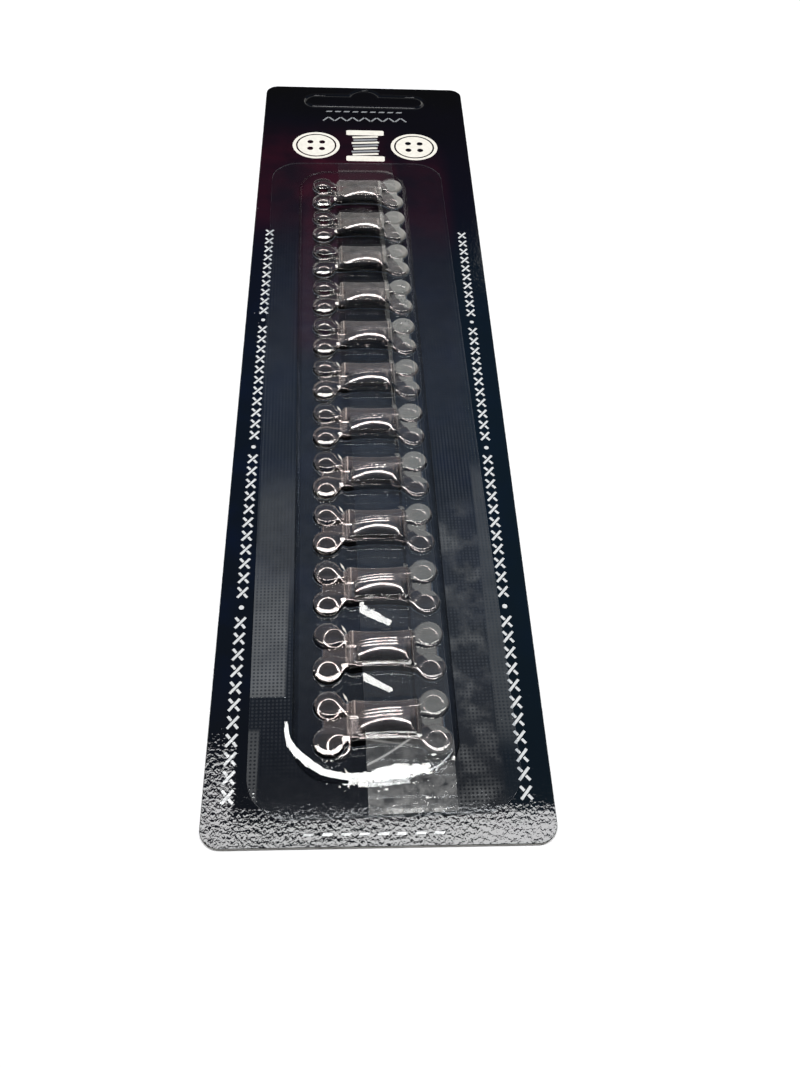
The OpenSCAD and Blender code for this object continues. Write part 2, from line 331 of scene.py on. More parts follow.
# ---------------------------------------------------------------------------- materials
def film_material(name, tint, steep, base, f0, rough, sealed, creases):
    """Clear film: what is behind it, under a clear gloss that grows towards grazing angles, and a plain, hazy part.
    Much of the plain part is painted light laid on by position: sheen, reflections and highlight lines; elsewhere the
    gloss and what shows through are painted darker, as shade. The gloss is the shader's metal part, the hazy one its
    plain part."""
    n = Nodes(name)
    vec, x, y, z = n.coords()
    facing = n.node("LayerWeight", {"Blend": 0.5}).outputs["Facing"]
    schlick = n.math("POWER", facing, 5.0)
    fac = n.math("MULTIPLY_ADD", schlick, 1.0 - f0, f0)
    fine = n.noise(vec, 0.9, 4.0)
    smear = n.node("MapRange", {"Value": fine, "From Min": 0.35, "From Max": 0.75, "To Min": 0.85, "To Max": 1.15}).outputs[0]
    fac = n.math("MULTIPLY", fac, smear, clamp=True)
    shape = n.node("NewGeometry").outputs["Normal"]
    up = n.node("SeparateXYZ", {0: shape}).outputs[2]
    start = shape
    low = n.math("LESS_THAN", z, CARD_T + 0.36)
    cloud = n.node("MapRange", {"Value": n.noise(vec, 0.5, 3.0), "From Min": 0.3, "From Max": 0.7, "To Min": 0.65, "To Max": 1.2}).outputs[0]
    u, v = pocket_uv(n, x, y)
    # fold is painted shade between the upper pockets: in these gaps the film's gloss and what shows through it are
    # darkened, more towards the top of the card
    fold = n.math("MULTIPLY", n.band(n.math("ABSOLUTE", v), 3.5, 7.0, 0.4), n.band(u, -4.6, 5.2, 0.5))
    fold = n.math("MULTIPLY", fold, n.node("MapRange", {"Value": y, "From Min": -25.0, "From Max": 20.0, "To Min": 0.15, "To Max": 1.0}).outputs[0])
    fold = n.math("MULTIPLY", fold, n.math("LESS_THAN", y, 46.0))
    fac = n.math("MULTIPLY", fac, n.math("MULTIPLY_ADD", fold, -0.72, 1.0))
    if sealed:
        # the film was pulled down where it was heated most: round the lower left corner of the
        # platform and on under the strip
        ex = n.math("MULTIPLY", n.math("ADD", x, 3.0), 1 / 10.7)
        ey = n.math("MULTIPLY", n.math("ADD", y, 81.0), 1 / 9.45)
        rho = n.math("SQRT", n.math("ADD", n.math("MULTIPLY", ex, ex), n.math("MULTIPLY", ey, ey)))
        ragged = n.math("MULTIPLY", n.math("SUBTRACT", n.noise(vec, 0.45, 3.0), 0.5), 0.09)
        rho = n.math("ADD", rho, ragged)
        thin = n.node("MapRange", {"Value": y, "From Min": -80.5, "From Max": -88.0, "To Min": 0.45, "To Max": 1.0}).outputs[0]
        rho = n.math("ADD", n.math("DIVIDE", n.math("SUBTRACT", rho, 1.0), thin), 1.0)
        pull = n.math("MULTIPLY", n.band(rho, 0.965, 1.035, 0.045), n.math("MULTIPLY", n.band(x, -20.0, -1.0, 2.0), n.band(y, -95.0, -81.5, 1.2)))
        sx = n.math("MULTIPLY", n.math("SUBTRACT", x, 1.4), 1 / 6.2)
        sy = n.math("MULTIPLY", n.math("SUBTRACT", y, n.math("MULTIPLY_ADD", x, 0.14, -90.3)), 1 / 1.25)
        spread = n.math("SQRT", n.math("ADD", n.math("MULTIPLY", sx, sx), n.math("MULTIPLY", sy, sy)))
        spread = n.math("ADD", spread, n.math("MULTIPLY", n.math("SUBTRACT", n.noise(n.mapped(vec, loc=(7, 3, 0)), 0.9, 5.0, 0.65), 0.5), 1.9))
        pull = n.math("MAXIMUM", pull, n.node("MapRange", {"Value": spread, "From Min": 1.02, "From Max": 0.86}).outputs[0])
        pull = n.math("MULTIPLY", pull, n.math("LESS_THAN", z, CARD_T + 1.3))
        kept = n.node("VectorMath", {0: shape}, operation="SCALE")
        n.put(kept.inputs["Scale"], n.math("SUBTRACT", 1.0, pull))
        lean = n.node("CombineXYZ", {"X": 0.0, "Y": n.math("MULTIPLY", pull, -0.085), "Z": pull}).outputs[0]
        add = n.node("VectorMath", {0: kept.outputs[0], 1: lean}, operation="ADD").outputs[0]
        start = n.node("VectorMath", {0: add}, operation="NORMALIZE").outputs[0]
    else:
        calm = n.node("MapRange", {"Value": y, "From Min": -84.2, "From Max": -85.4}, interpolation_type="SMOOTHSTEP").outputs[0]
        kept = n.node("VectorMath", {0: shape}, operation="SCALE")
        n.put(kept.inputs["Scale"], n.math("SUBTRACT", 1.0, calm))
        sx = n.math("MULTIPLY", n.math("SUBTRACT", x, 1.9), 1 / 5.6)
        sy = n.math("MULTIPLY", n.math("SUBTRACT", y, n.math("MULTIPLY_ADD", x, 0.16, -90.0)), 1 / 1.15)
        splash = n.math("SQRT", n.math("ADD", n.math("MULTIPLY", sx, sx), n.math("MULTIPLY", sy, sy)))
        splash = n.math("ADD", splash, n.math("MULTIPLY", n.math("SUBTRACT", n.noise(n.mapped(vec, loc=(2, 9, 0)), 0.8, 5.0, 0.65), 0.5), 2.2))
        splash = n.node("MapRange", {"Value": splash, "From Min": 1.05, "From Max": 0.8}).outputs[0]
        lean = n.node("CombineXYZ", {"X": 0.0, "Y": n.math("MULTIPLY", n.math("MULTIPLY", calm, splash), -0.085), "Z": calm}).outputs[0]
        add = n.node("VectorMath", {0: kept.outputs[0], 1: lean}, operation="ADD").outputs[0]
        start = n.node("VectorMath", {0: add}, operation="NORMALIZE").outputs[0]
    normal = n.bump(n.noise(vec, 0.16, 2.0), creases, normal=start)
    normal = n.bump(n.noise(vec, 2.2, 3.0), 0.0015, normal=normal)
    if not sealed:
        normal = n.bump(n.noise(vec, 0.55, 2.0), 0.045, normal=normal)
    if sealed:
        # the sealing tool's grid: pressed deepest along the lower edges of the flange
        m = n.mapped(vec, rot=(0, 0, math.radians(-SKEW)))
        s = n.node("SeparateXYZ", {0: m})
        pitch = 2 * math.pi / 0.6
        gx = n.math("SINE", n.math("MULTIPLY", s.outputs[0], pitch))
        gy = n.math("SINE", n.math("MULTIPLY", s.outputs[1], pitch))
        worn = n.noise(vec, 0.22, 4.0, 0.6)
        patch = n.node("MapRange", {"Value": worn, "From Min": 0.46, "From Max": 0.66, "To Min": 0.0, "To Max": 1.0}).outputs[0]
        depth = n.math("MULTIPLY", n.math("MULTIPLY", n.band(x, 11.0, 17.0, 2.0), n.band(y, -76.0, -40.0, 22.0)), n.math("MULTIPLY_ADD", patch, 0.5, 0.34))
        left = n.math("MULTIPLY", n.math("MULTIPLY", n.band(x, -19.0, -14.4, 1.0), n.band(y, -90.0, -50.0, 38.0)), n.math("GREATER_THAN", y, -77.0))
        rim = n.math("MULTIPLY", n.band(x, -22.0, -17.5, 0.6), n.band(y, -96.0, -84.0, 1.5))
        rim_r = n.math("MULTIPLY", n.math("MULTIPLY", n.band(x, 17.7, 22.0, 0.5), n.band(y, -90.0, -30.0, 40.0)), n.math("GREATER_THAN", y, -81.0))
        depth = n.math("MAXIMUM", depth, left)
        depth = n.math("MAXIMUM", depth, n.math("MULTIPLY", rim, 0.8))
        depth = n.math("MAXIMUM", depth, rim_r)
        fade = n.node("MapRange", {"Value": y, "From Min": -84.0, "From Max": -40.0, "To Min": 0.35, "To Max": 1.35}).outputs[0]
        uneven = n.node("MapRange", {"Value": worn, "From Min": 0.3, "From Max": 0.7, "To Min": 0.78, "To Max": 1.2}).outputs[0]
        depth = n.math("MULTIPLY", n.math("MULTIPLY", depth, n.math("MULTIPLY", uneven, low)), fade)
        grid = n.math("MULTIPLY_ADD", n.math("MULTIPLY", n.math("ADD", gx, 1.0), n.math("ADD", gy, 1.0)), 0.5, -0.5)
        normal = n.bump(n.math("MULTIPLY", grid, depth), 0.0105, normal=normal)
        dent = n.node("MapRange", {"Value": grid, "From Min": -0.2, "From Max": 0.7}, interpolation_type="SMOOTHSTEP").outputs[0]
        dent_all = dent
        dent = n.math("MULTIPLY", dent, n.math("MINIMUM", depth, 1.0))
        fac = n.math("MULTIPLY", fac, n.math("MULTIPLY_ADD", dent, -0.62, 1.0))
        over = n.node("MapRange", {"Value": z, "From Min": CARD_T + 1.3, "From Max": CARD_T + 1.5}, interpolation_type="SMOOTHSTEP").outputs[0]
        flat = n.node("MapRange", {"Value": up, "From Min": 0.72, "From Max": 0.95}, interpolation_type="SMOOTHSTEP").outputs[0]
        roof = n.math("MULTIPLY", over, flat)
        # on the roofs the hazy layer grows towards the top of the card: partly the film's own cloudiness, partly
        # painted reflection
        far = n.node("MapRange", {"Value": y, "From Min": -28.0, "From Max": 42.0, "To Min": 0.03, "To Max": 0.115}, interpolation_type="SMOOTHSTEP").outputs[0]
        haze_and_sheen = n.math("MULTIPLY", n.math("MULTIPLY", roof, far), cloud)
        # less on the left rings' lobes, least on the upper ones
        open_left = n.node("MapRange", {"Value": y, "From Min": -50.0, "From Max": 20.0, "To Min": 0.0, "To Max": 0.86}).outputs[0]
        open_left = n.math("MULTIPLY", open_left, n.node("MapRange", {"Value": u, "From Min": -4.9, "From Max": -5.5}).outputs[0])
        haze_and_sheen = n.math("MULTIPLY", haze_and_sheen, n.math("SUBTRACT", 1.0, open_left))
        # a painted reflection: a milky sheen on the upper right lobe and what slopes down beside it
        foot_v = n.node("MapRange", {"Value": y, "From Min": -45.0, "From Max": 50.0, "To Min": -2.2, "To Max": -5.5}).outputs[0]
        head_v = n.node("MapRange", {"Value": y, "From Min": -45.0, "From Max": 50.0, "To Min": 0.7, "To Max": 5.6}).outputs[0]
        t = n.math("DIVIDE", n.math("SUBTRACT", v, foot_v), n.math("SUBTRACT", head_v, foot_v), clamp=True)
        foot_u = n.node("MapRange", {"Value": y, "From Min": -45.0, "From Max": 50.0, "To Min": 7.6, "To Max": 9.2}).outputs[0]
        head_u = n.node("MapRange", {"Value": y, "From Min": -45.0, "From Max": 50.0, "To Min": 5.2, "To Max": 5.4}).outputs[0]
        edge = n.math("SUBTRACT", u, n.math("ADD", foot_u, n.math("MULTIPLY", t, n.math("SUBTRACT", head_u, foot_u))))
        right_lobe_sheen = n.node("MapRange", {"Value": edge, "From Min": -0.1, "From Max": 0.15}, interpolation_type="SMOOTHSTEP").outputs[0]
        right_lobe_sheen = n.math("MULTIPLY", right_lobe_sheen, n.math("GREATER_THAN", v, foot_v))
        upper = n.node("MapRange", {"Value": y, "From Min": -20.0, "From Max": 25.0}).outputs[0]
        sides = n.math("MULTIPLY", n.math("MULTIPLY", over, upper), n.node("MapRange", {"Value": up, "From Min": 0.12, "From Max": 0.4}).outputs[0])
        right_lobe_sheen = n.math("MULTIPLY", n.math("MULTIPLY", right_lobe_sheen, n.math("MAXIMUM", roof, sides)), n.node("MapRange", {"Value": y, "From Min": -60.0, "From Max": 50.0, "To Min": 0.28, "To Max": 0.5}).outputs[0])
        right_lobe_sheen = n.math("MULTIPLY", right_lobe_sheen, n.math("MULTIPLY_ADD", cloud, 0.3, 0.7))
        # painted highlights: two fine pale lines beside each neck, where the film steps up to the body, and a thin line
        # round the foot of the walls
        step_glints = n.math("ADD", n.math("MAXIMUM", n.band(u, -5.14, -4.98, 0.1), n.math("MULTIPLY", n.band(u, -5.0, -4.0, 0.1), 0.3)), n.band(u, -4.06, -3.92, 0.1))
        step_glints = n.math("MULTIPLY", n.math("MULTIPLY", step_glints, n.band(v, -2.0, 3.6, 0.4)), n.math("MULTIPLY", n.math("GREATER_THAN", z, CARD_T + 1.0), 0.15))
        step_glints = n.math("MULTIPLY", step_glints, n.node("MapRange", {"Value": y, "From Min": 35.0, "From Max": 0.0}).outputs[0])
        foot = n.math("MULTIPLY", n.band(z, CARD_T + 1.24, CARD_T + 1.4, 0.04), n.math("LESS_THAN", up, 0.8))
        sheet = n.node("MapRange", {"Value": y, "From Min": 46.0, "From Max": 0.0, "To Min": 0.0, "To Max": 1.0}).outputs[0]
        sheet = n.math("MULTIPLY", n.math("MULTIPLY", sheet, n.node("MapRange", {"Value": y, "From Min": -92.0, "From Max": -70.0}).outputs[0]), n.math("SUBTRACT", 1.0, over))
        # painted highlight lines along the far-facing rounded edges of the raised film
        back = n.node("SeparateXYZ", {0: shape}).outputs[1]
        rim_glint = n.math("MULTIPLY", n.math("MULTIPLY", over, n.band(up, 0.42, 0.93, 0.05)), n.math("GREATER_THAN", back, -0.12))
        near_left = n.math("MULTIPLY", n.math("MULTIPLY", roof, n.math("MULTIPLY", n.math("LESS_THAN", u, -4.9), n.math("LESS_THAN", n.math("ABSOLUTE", v), 1.9))), n.node("MapRange", {"Value": y, "From Min": 0.0, "From Max": -35.0, "To Min": 0.0, "To Max": 0.02}).outputs[0])
        haze_and_sheen = n.math("ADD", haze_and_sheen, n.math("ADD", n.math("MULTIPLY", rim_glint, 0.06), near_left))
        haze_and_sheen = n.math("MAXIMUM", haze_and_sheen, right_lobe_sheen)
        # a painted glint: a short bright diagonal stroke at the upper corner between each neck and its body, stronger
        # on the lower clasps
        along = n.math("ADD", n.math("MULTIPLY", n.math("ADD", u, 5.3), 0.45), n.math("MULTIPLY", n.math("SUBTRACT", v, 4.5), -0.893))
        across = n.math("ADD", n.math("MULTIPLY", n.math("ADD", u, 5.3), 0.893), n.math("MULTIPLY", n.math("SUBTRACT", v, 4.5), 0.45))
        room = n.math("MULTIPLY", n.math("SUBTRACT", 1.0, n.math("MULTIPLY", n.math("ABSOLUTE", along), 1 / 1.0)), 0.2)
        corner_glint = n.node("MapRange", {"Value": n.math("SUBTRACT", room, n.math("ABSOLUTE", across)), "From Min": 0.0, "From Max": 0.06}).outputs[0]
        corner_glint = n.math("MULTIPLY", corner_glint, n.node("MapRange", {"Value": y, "From Min": 30.0, "From Max": -10.0, "To Min": 0.12, "To Max": 0.7}).outputs[0])
        haze_and_sheen = n.math("ADD", haze_and_sheen, corner_glint)
        haze_and_sheen = n.math("ADD", haze_and_sheen, n.math("ADD", step_glints, n.math("MULTIPLY", foot, 0.12)))
        dots = n.node("MapRange", {"Value": grid, "From Min": -0.3, "From Max": 0.8, "To Min": 0.35, "To Max": 2.6}, interpolation_type="SMOOTHSTEP").outputs[0]
        dots = n.mix(low, (1.0, 1.0, 1.0, 1), n.node("CombineXYZ", {0: dots, 1: dots, 2: dots}).outputs[0])
        haze_and_sheen = n.math("ADD", haze_and_sheen, n.math("MULTIPLY", n.math("MULTIPLY", n.math("MULTIPLY", sheet, cloud), dots), 0.0125))
        # a painted sheen on the flange, dotted by the seal's grid: in a band along the left edge, in another along the
        # right, and over the lower right
        flange_sheen = n.math("MULTIPLY", n.math("MULTIPLY", n.band(x, -19.6, -14.2, 0.5), n.math("MULTIPLY", n.math("GREATER_THAN", y, -77.0), n.node("MapRange", {"Value": y, "From Min": -40.0, "From Max": -66.0}, interpolation_type="SMOOTHSTEP").outputs[0])), 0.052)
        fade_up = n.math("MULTIPLY", n.band(x, -19.0, -13.6, 1.2), n.band(y, -52.0, -42.0, 14.0))
        flange_sheen = n.math("MAXIMUM", flange_sheen, n.math("MULTIPLY", fade_up, 0.02))
        flange_sheen = n.math("MAXIMUM", flange_sheen, n.math("MULTIPLY", n.math("MULTIPLY", n.band(x, -22.0, -17.6, 0.3), n.band(y, -94.5, -83.0, 1.0)), 0.03))
        flange_sheen = n.math("MAXIMUM", flange_sheen, n.math("MULTIPLY", n.math("MULTIPLY", n.band(x, 17.9, 22.0, 0.4), n.band(y, -81.0, -34.0, 6.0)), 0.022))
        flange_sheen = n.math("MAXIMUM", flange_sheen, n.math("MULTIPLY", n.math("MULTIPLY", n.band(x, 11.5, 17.0, 1.5), n.band(y, -93.0, -46.0, 10.0)), n.math("MULTIPLY_ADD", patch, 0.03, 0.006)))
        dark_dots = n.math("MULTIPLY_ADD", dent_all, -1.5, 1.62)
        flange_sheen = n.math("MULTIPLY", n.math("MULTIPLY", flange_sheen, low), n.math("MULTIPLY", dark_dots, uneven))
        haze_and_sheen = n.math("ADD", haze_and_sheen, flange_sheen)
        # painted light: a bluish patch in the middle of each gap between two pockets
        pv = n.math("MULTIPLY", n.math("SUBTRACT", n.math("ABSOLUTE", v), 6.2), 1 / 1.9)
        pu = n.math("MULTIPLY", n.math("SUBTRACT", u, 0.5), 1 / 3.8)
        gap_middle_light = n.node("MapRange", {"Value": n.math("ADD", n.math("MULTIPLY", pv, pv), n.math("MULTIPLY", pu, pu)), "From Min": 1.1, "From Max": 0.5}, interpolation_type="SMOOTHSTEP").outputs[0]
        gap_middle_light = n.math("MULTIPLY", n.math("MULTIPLY", gap_middle_light, cloud), n.math("MULTIPLY", n.band(y, -62.0, -20.0, 20.0), n.math("SUBTRACT", 1.0, over)))
        haze_and_sheen = n.math("ADD", haze_and_sheen, n.math("MULTIPLY", gap_middle_light, 0.009))
        # painted shade: the gloss is turned down on the steep walls and round their feet
        wall = n.math("MULTIPLY", n.band(z, CARD_T + 0.3, CARD_T + 1.14, 0.015), n.math("LESS_THAN", up, 0.995))
        wall = n.math("MAXIMUM", n.math("MULTIPLY", wall, 0.88), n.math("MULTIPLY", n.math("MULTIPLY", n.band(z, CARD_T + 1.1, CARD_T + 1.5, 0.07), n.math("LESS_THAN", up, 0.992)), 0.78))
        wall = n.math("MULTIPLY", wall, n.math("SUBTRACT", 1.0, pull))
        fac = n.math("MULTIPLY", fac, n.math("SUBTRACT", 1.0, wall))
        # painted shade over each tongue's near side: the gloss is turned down there, and on the lower clasps the hazy
        # layer too
        tongue_near_shade = n.math("MULTIPLY", n.math("MULTIPLY", roof, n.band(u, -4.4, 4.9, 0.3)), n.node("MapRange", {"Value": v, "From Min": 1.2, "From Max": -0.6}).outputs[0])
        fac = n.math("MULTIPLY", fac, n.math("MULTIPLY_ADD", tongue_near_shade, -0.7, 1.0))
        closer = n.node("MapRange", {"Value": y, "From Min": 20.0, "From Max": -10.0, "To Min": 0.0, "To Max": 0.85}).outputs[0]
        haze_and_sheen = n.math("MULTIPLY", haze_and_sheen, n.math("SUBTRACT", 1.0, n.math("MULTIPLY", tongue_near_shade, closer)))
        # a painted brownish sheen over each tongue's far half, on the lower clasps
        tongue_sheen = n.math("MULTIPLY", n.math("MULTIPLY", n.math("MULTIPLY", roof, n.band(u, -4.4, 4.9, 0.3)), n.band(v, 0.4, 2.6, 0.6)), n.node("MapRange", {"Value": y, "From Min": 30.0, "From Max": -5.0, "To Min": 0.0, "To Max": 0.042}).outputs[0])
        haze_and_sheen = n.math("ADD", haze_and_sheen, n.math("MULTIPLY", tongue_sheen, cloud))
        warm = n.mix(upper, (0.90, 0.55, 0.48, 1), (0.88, 0.74, 0.64, 1))
        body = n.mix(n.math("MULTIPLY", flange_sheen, 40.0, clamp=True), (0.55, 0.76, 1.0, 1), (0.78, 0.84, 0.86, 1))
        body = n.mix(over, body, warm)
        body = n.mix(n.math("MULTIPLY", right_lobe_sheen, 4.0, clamp=True), body, (0.335, 0.322, 0.283, 1))
        # the painted glints and neck lines take a pale warm tone
        pale = n.math("ADD", corner_glint, n.math("MULTIPLY", step_glints, 0.5))
        body = n.mix(n.math("MULTIPLY", pale, 6.0, clamp=True), body, (0.86, 0.82, 0.73, 1))
    else:
        # painted shade over a tongue's near side: the strip's gloss is turned down there
        strip_tongue_shade = n.math("MULTIPLY", n.band(u, -4.4, 4.9, 0.3), n.band(v, -3.4, -0.4, 0.5))
        fac = n.math("MULTIPLY", fac, n.math("MULTIPLY_ADD", strip_tongue_shade, -0.55, 1.0))
        # the strip's hazy layer is taken out in the painted shade of the gaps (fold)
        haze_and_sheen = n.math("MULTIPLY", n.math("MULTIPLY", cloud, 0.005), n.math("SUBTRACT", 1.0, fold))
        # painted light: a lighter hazy layer in the gaps between the lower pockets
        strip_gap_light = n.math("MULTIPLY", n.band(n.math("ABSOLUTE", v), 3.6, 7.0, 0.5), n.node("MapRange", {"Value": y, "From Min": -48.0, "From Max": -62.0}).outputs[0])
        haze_and_sheen = n.math("ADD", haze_and_sheen, n.math("MULTIPLY", n.math("MULTIPLY", strip_gap_light, cloud), 0.011))
        # the lower end: a painted mottled sheen, with painted highlight lines along the two fine creases that cross in
        # front of the last clasp, and two more near the strip's end
        mottle = n.node("MapRange", {"Value": n.noise(n.mapped(vec, loc=(4, 4, 0)), 0.55, 5.0, 0.68), "From Min": 0.36, "From Max": 0.68, "To Min": 0.15, "To Max": 2.1}).outputs[0]
        strip_end_sheen = n.math("MULTIPLY", n.math("MULTIPLY", calm, mottle), n.node("MapRange", {"Value": y, "From Min": -85.0, "From Max": -94.0, "To Min": 0.032, "To Max": 0.098}).outputs[0])
        line_a = n.math("MULTIPLY", n.band(n.math("SUBTRACT", y, n.math("MULTIPLY_ADD", x, 0.52, -87.7)), -0.1, 0.1, 0.16), n.band(x, -1.4, 4.2, 0.8))
        line_b = n.math("MULTIPLY", n.band(n.math("SUBTRACT", y, n.math("MULTIPLY_ADD", x, -0.12, -85.5)), -0.05, 0.05, 0.14), n.band(x, -2.4, 4.4, 0.8))
        line_c = n.math("MULTIPLY", n.band(n.math("SUBTRACT", x, n.math("MULTIPLY_ADD", y, 0.03, 0.2)), -0.04, 0.05, 0.1), n.band(y, -95.2, -90.0, 0.6))
        line_d = n.math("MULTIPLY", n.band(y, -95.6, -94.9, 0.25), n.band(x, -1.0, 8.0, 2.0))
        line_a = n.math("MAXIMUM", n.math("MULTIPLY", line_a, 0.24), n.math("MULTIPLY", line_b, 0.12))
        line_a = n.math("MAXIMUM", line_a, n.math("MAXIMUM", n.math("MULTIPLY", line_c, 0.15), n.math("MULTIPLY", n.math("MULTIPLY", line_d, mottle), 0.16)))
        haze_and_sheen = n.math("ADD", haze_and_sheen, n.math("ADD", strip_end_sheen, n.math("MULTIPLY", line_a, calm)))
        body = (0.80, 0.79, 0.76, 1)
    both = n.math("ADD", fac, haze_and_sheen, clamp=True)
    part = n.math("DIVIDE", fac, n.math("ADD", fac, haze_and_sheen), clamp=True)
    r = n.node("MapRange", {"Value": fine, "To Min": rough * 0.7, "To Max": rough * 1.5}).outputs[0]
    gloss = n.principled(Base_Color=n.mix(part, body, (*base, 1)), Metallic=part, Roughness=r, Specular_IOR_Level=0.0, Normal=normal)
    level = n.node("MapRange", {"Value": n.math("ABSOLUTE", up), "From Min": 0.15, "From Max": 0.6}, interpolation_type="SMOOTHSTEP").outputs[0]
    clear = n.node("BsdfTransparent", {"Color": n.mix(n.math("MULTIPLY", level, n.math("MULTIPLY_ADD", fold, -0.6, 1.0)), steep, tint)})  # painted shade: what shows through steep walls and the gaps (fold) is darkened
    mix = n.node("MixShader", {0: both, 1: clear.outputs[0], 2: gloss.outputs[0]})
    return n.finish(mix.outputs[0])


def film_back_material(name):
    """The film's inner face: the gloss of both faces is given by the outer one."""
    n = Nodes(name)
    vec, x, y, z = n.coords()
    facing = n.node("LayerWeight", {"Blend": 0.5}).outputs["Facing"]
    fac = n.math("MULTIPLY_ADD", n.math("POWER", facing, 5.0), 0.25, 0.008)
    fac = n.math("MULTIPLY", fac, n.math("ADD", n.noise(vec, 0.9, 3.0), 0.5), clamp=True)
    gloss = n.principled(Base_Color=(0.93, 0.95, 0.97), Metallic=1.0, Roughness=0.08)
    clear = n.node("BsdfTransparent", {"Color": (0.98, 0.985, 0.99, 1)})
    return n.finish(n.node("MixShader", {0: fac, 1: clear.outputs[0], 2: gloss.outputs[0]}).outputs[0])


def cut_edge_material(name):
    """The sheared edge of a clear film, which looks frosted and bright."""
    n = Nodes(name)
    vec, x, y, z = n.coords()
    fine = n.noise(vec, 6.0, 3.0)
    col = n.ramp(fine, [(0.3, (0.42, 0.44, 0.47)), (0.7, (0.8, 0.82, 0.84))])
    fac = n.node("MapRange", {"Value": fine, "From Min": 0.3, "From Max": 0.7, "To Min": 0.25, "To Max": 0.6}).outputs[0]
    gloss = n.principled(Base_Color=col, Metallic=0.2, Roughness=0.3)
    clear = n.node("BsdfTransparent", {"Color": (0.9, 0.92, 0.95, 1)})
    return n.finish(n.node("MixShader", {0: fac, 1: clear.outputs[0], 2: gloss.outputs[0]}).outputs[0])


def laminate_bump(n, vec):
    """The grain of the gloss laminate: a fine crinkle over a slight waviness."""
    s = n.node("SeparateXYZ", {0: vec})
    # the board dips a little along its lower edge, most at the right
    dip = n.node("MapRange", {"Value": s.outputs[1], "From Min": -93.0, "From Max": -97.5}, interpolation_type="SMOOTHSTEP").outputs[0]
    right = n.node("MapRange", {"Value": s.outputs[0], "From Min": -10.0, "From Max": 25.0, "To Min": -0.006, "To Max": -0.045}).outputs[0]
    corner = n.math("MULTIPLY", n.band(s.outputs[0], -30.0, -21.5, 1.5), n.band(s.outputs[1], -100.0, -88.0, 9.0))
    tip = n.math("MINIMUM", n.math("MULTIPLY", dip, right), n.math("MULTIPLY", corner, -0.016))
    lean = n.node("CombineXYZ", {"X": 0.0, "Y": tip, "Z": 0.0}).outputs[0]
    add = n.node("VectorMath", {0: n.node("NewGeometry").outputs["Normal"], 1: lean}, operation="ADD").outputs[0]
    normal = n.node("VectorMath", {0: add}, operation="NORMALIZE").outputs[0]
    normal = n.bump(n.noise(vec, 0.1, 2.0), 0.03, normal=normal)
    crinkle = n.noise(n.mapped(vec, scale=(1.0, 0.8, 1.0)), 2.0, 1.8, 0.5, 0.5)
    crinkle = n.math("MULTIPLY", crinkle, n.math("MULTIPLY_ADD", n.math("MAXIMUM", dip, corner), 3.6, 0.6))
    return n.bump(crinkle, 0.018, normal=normal)


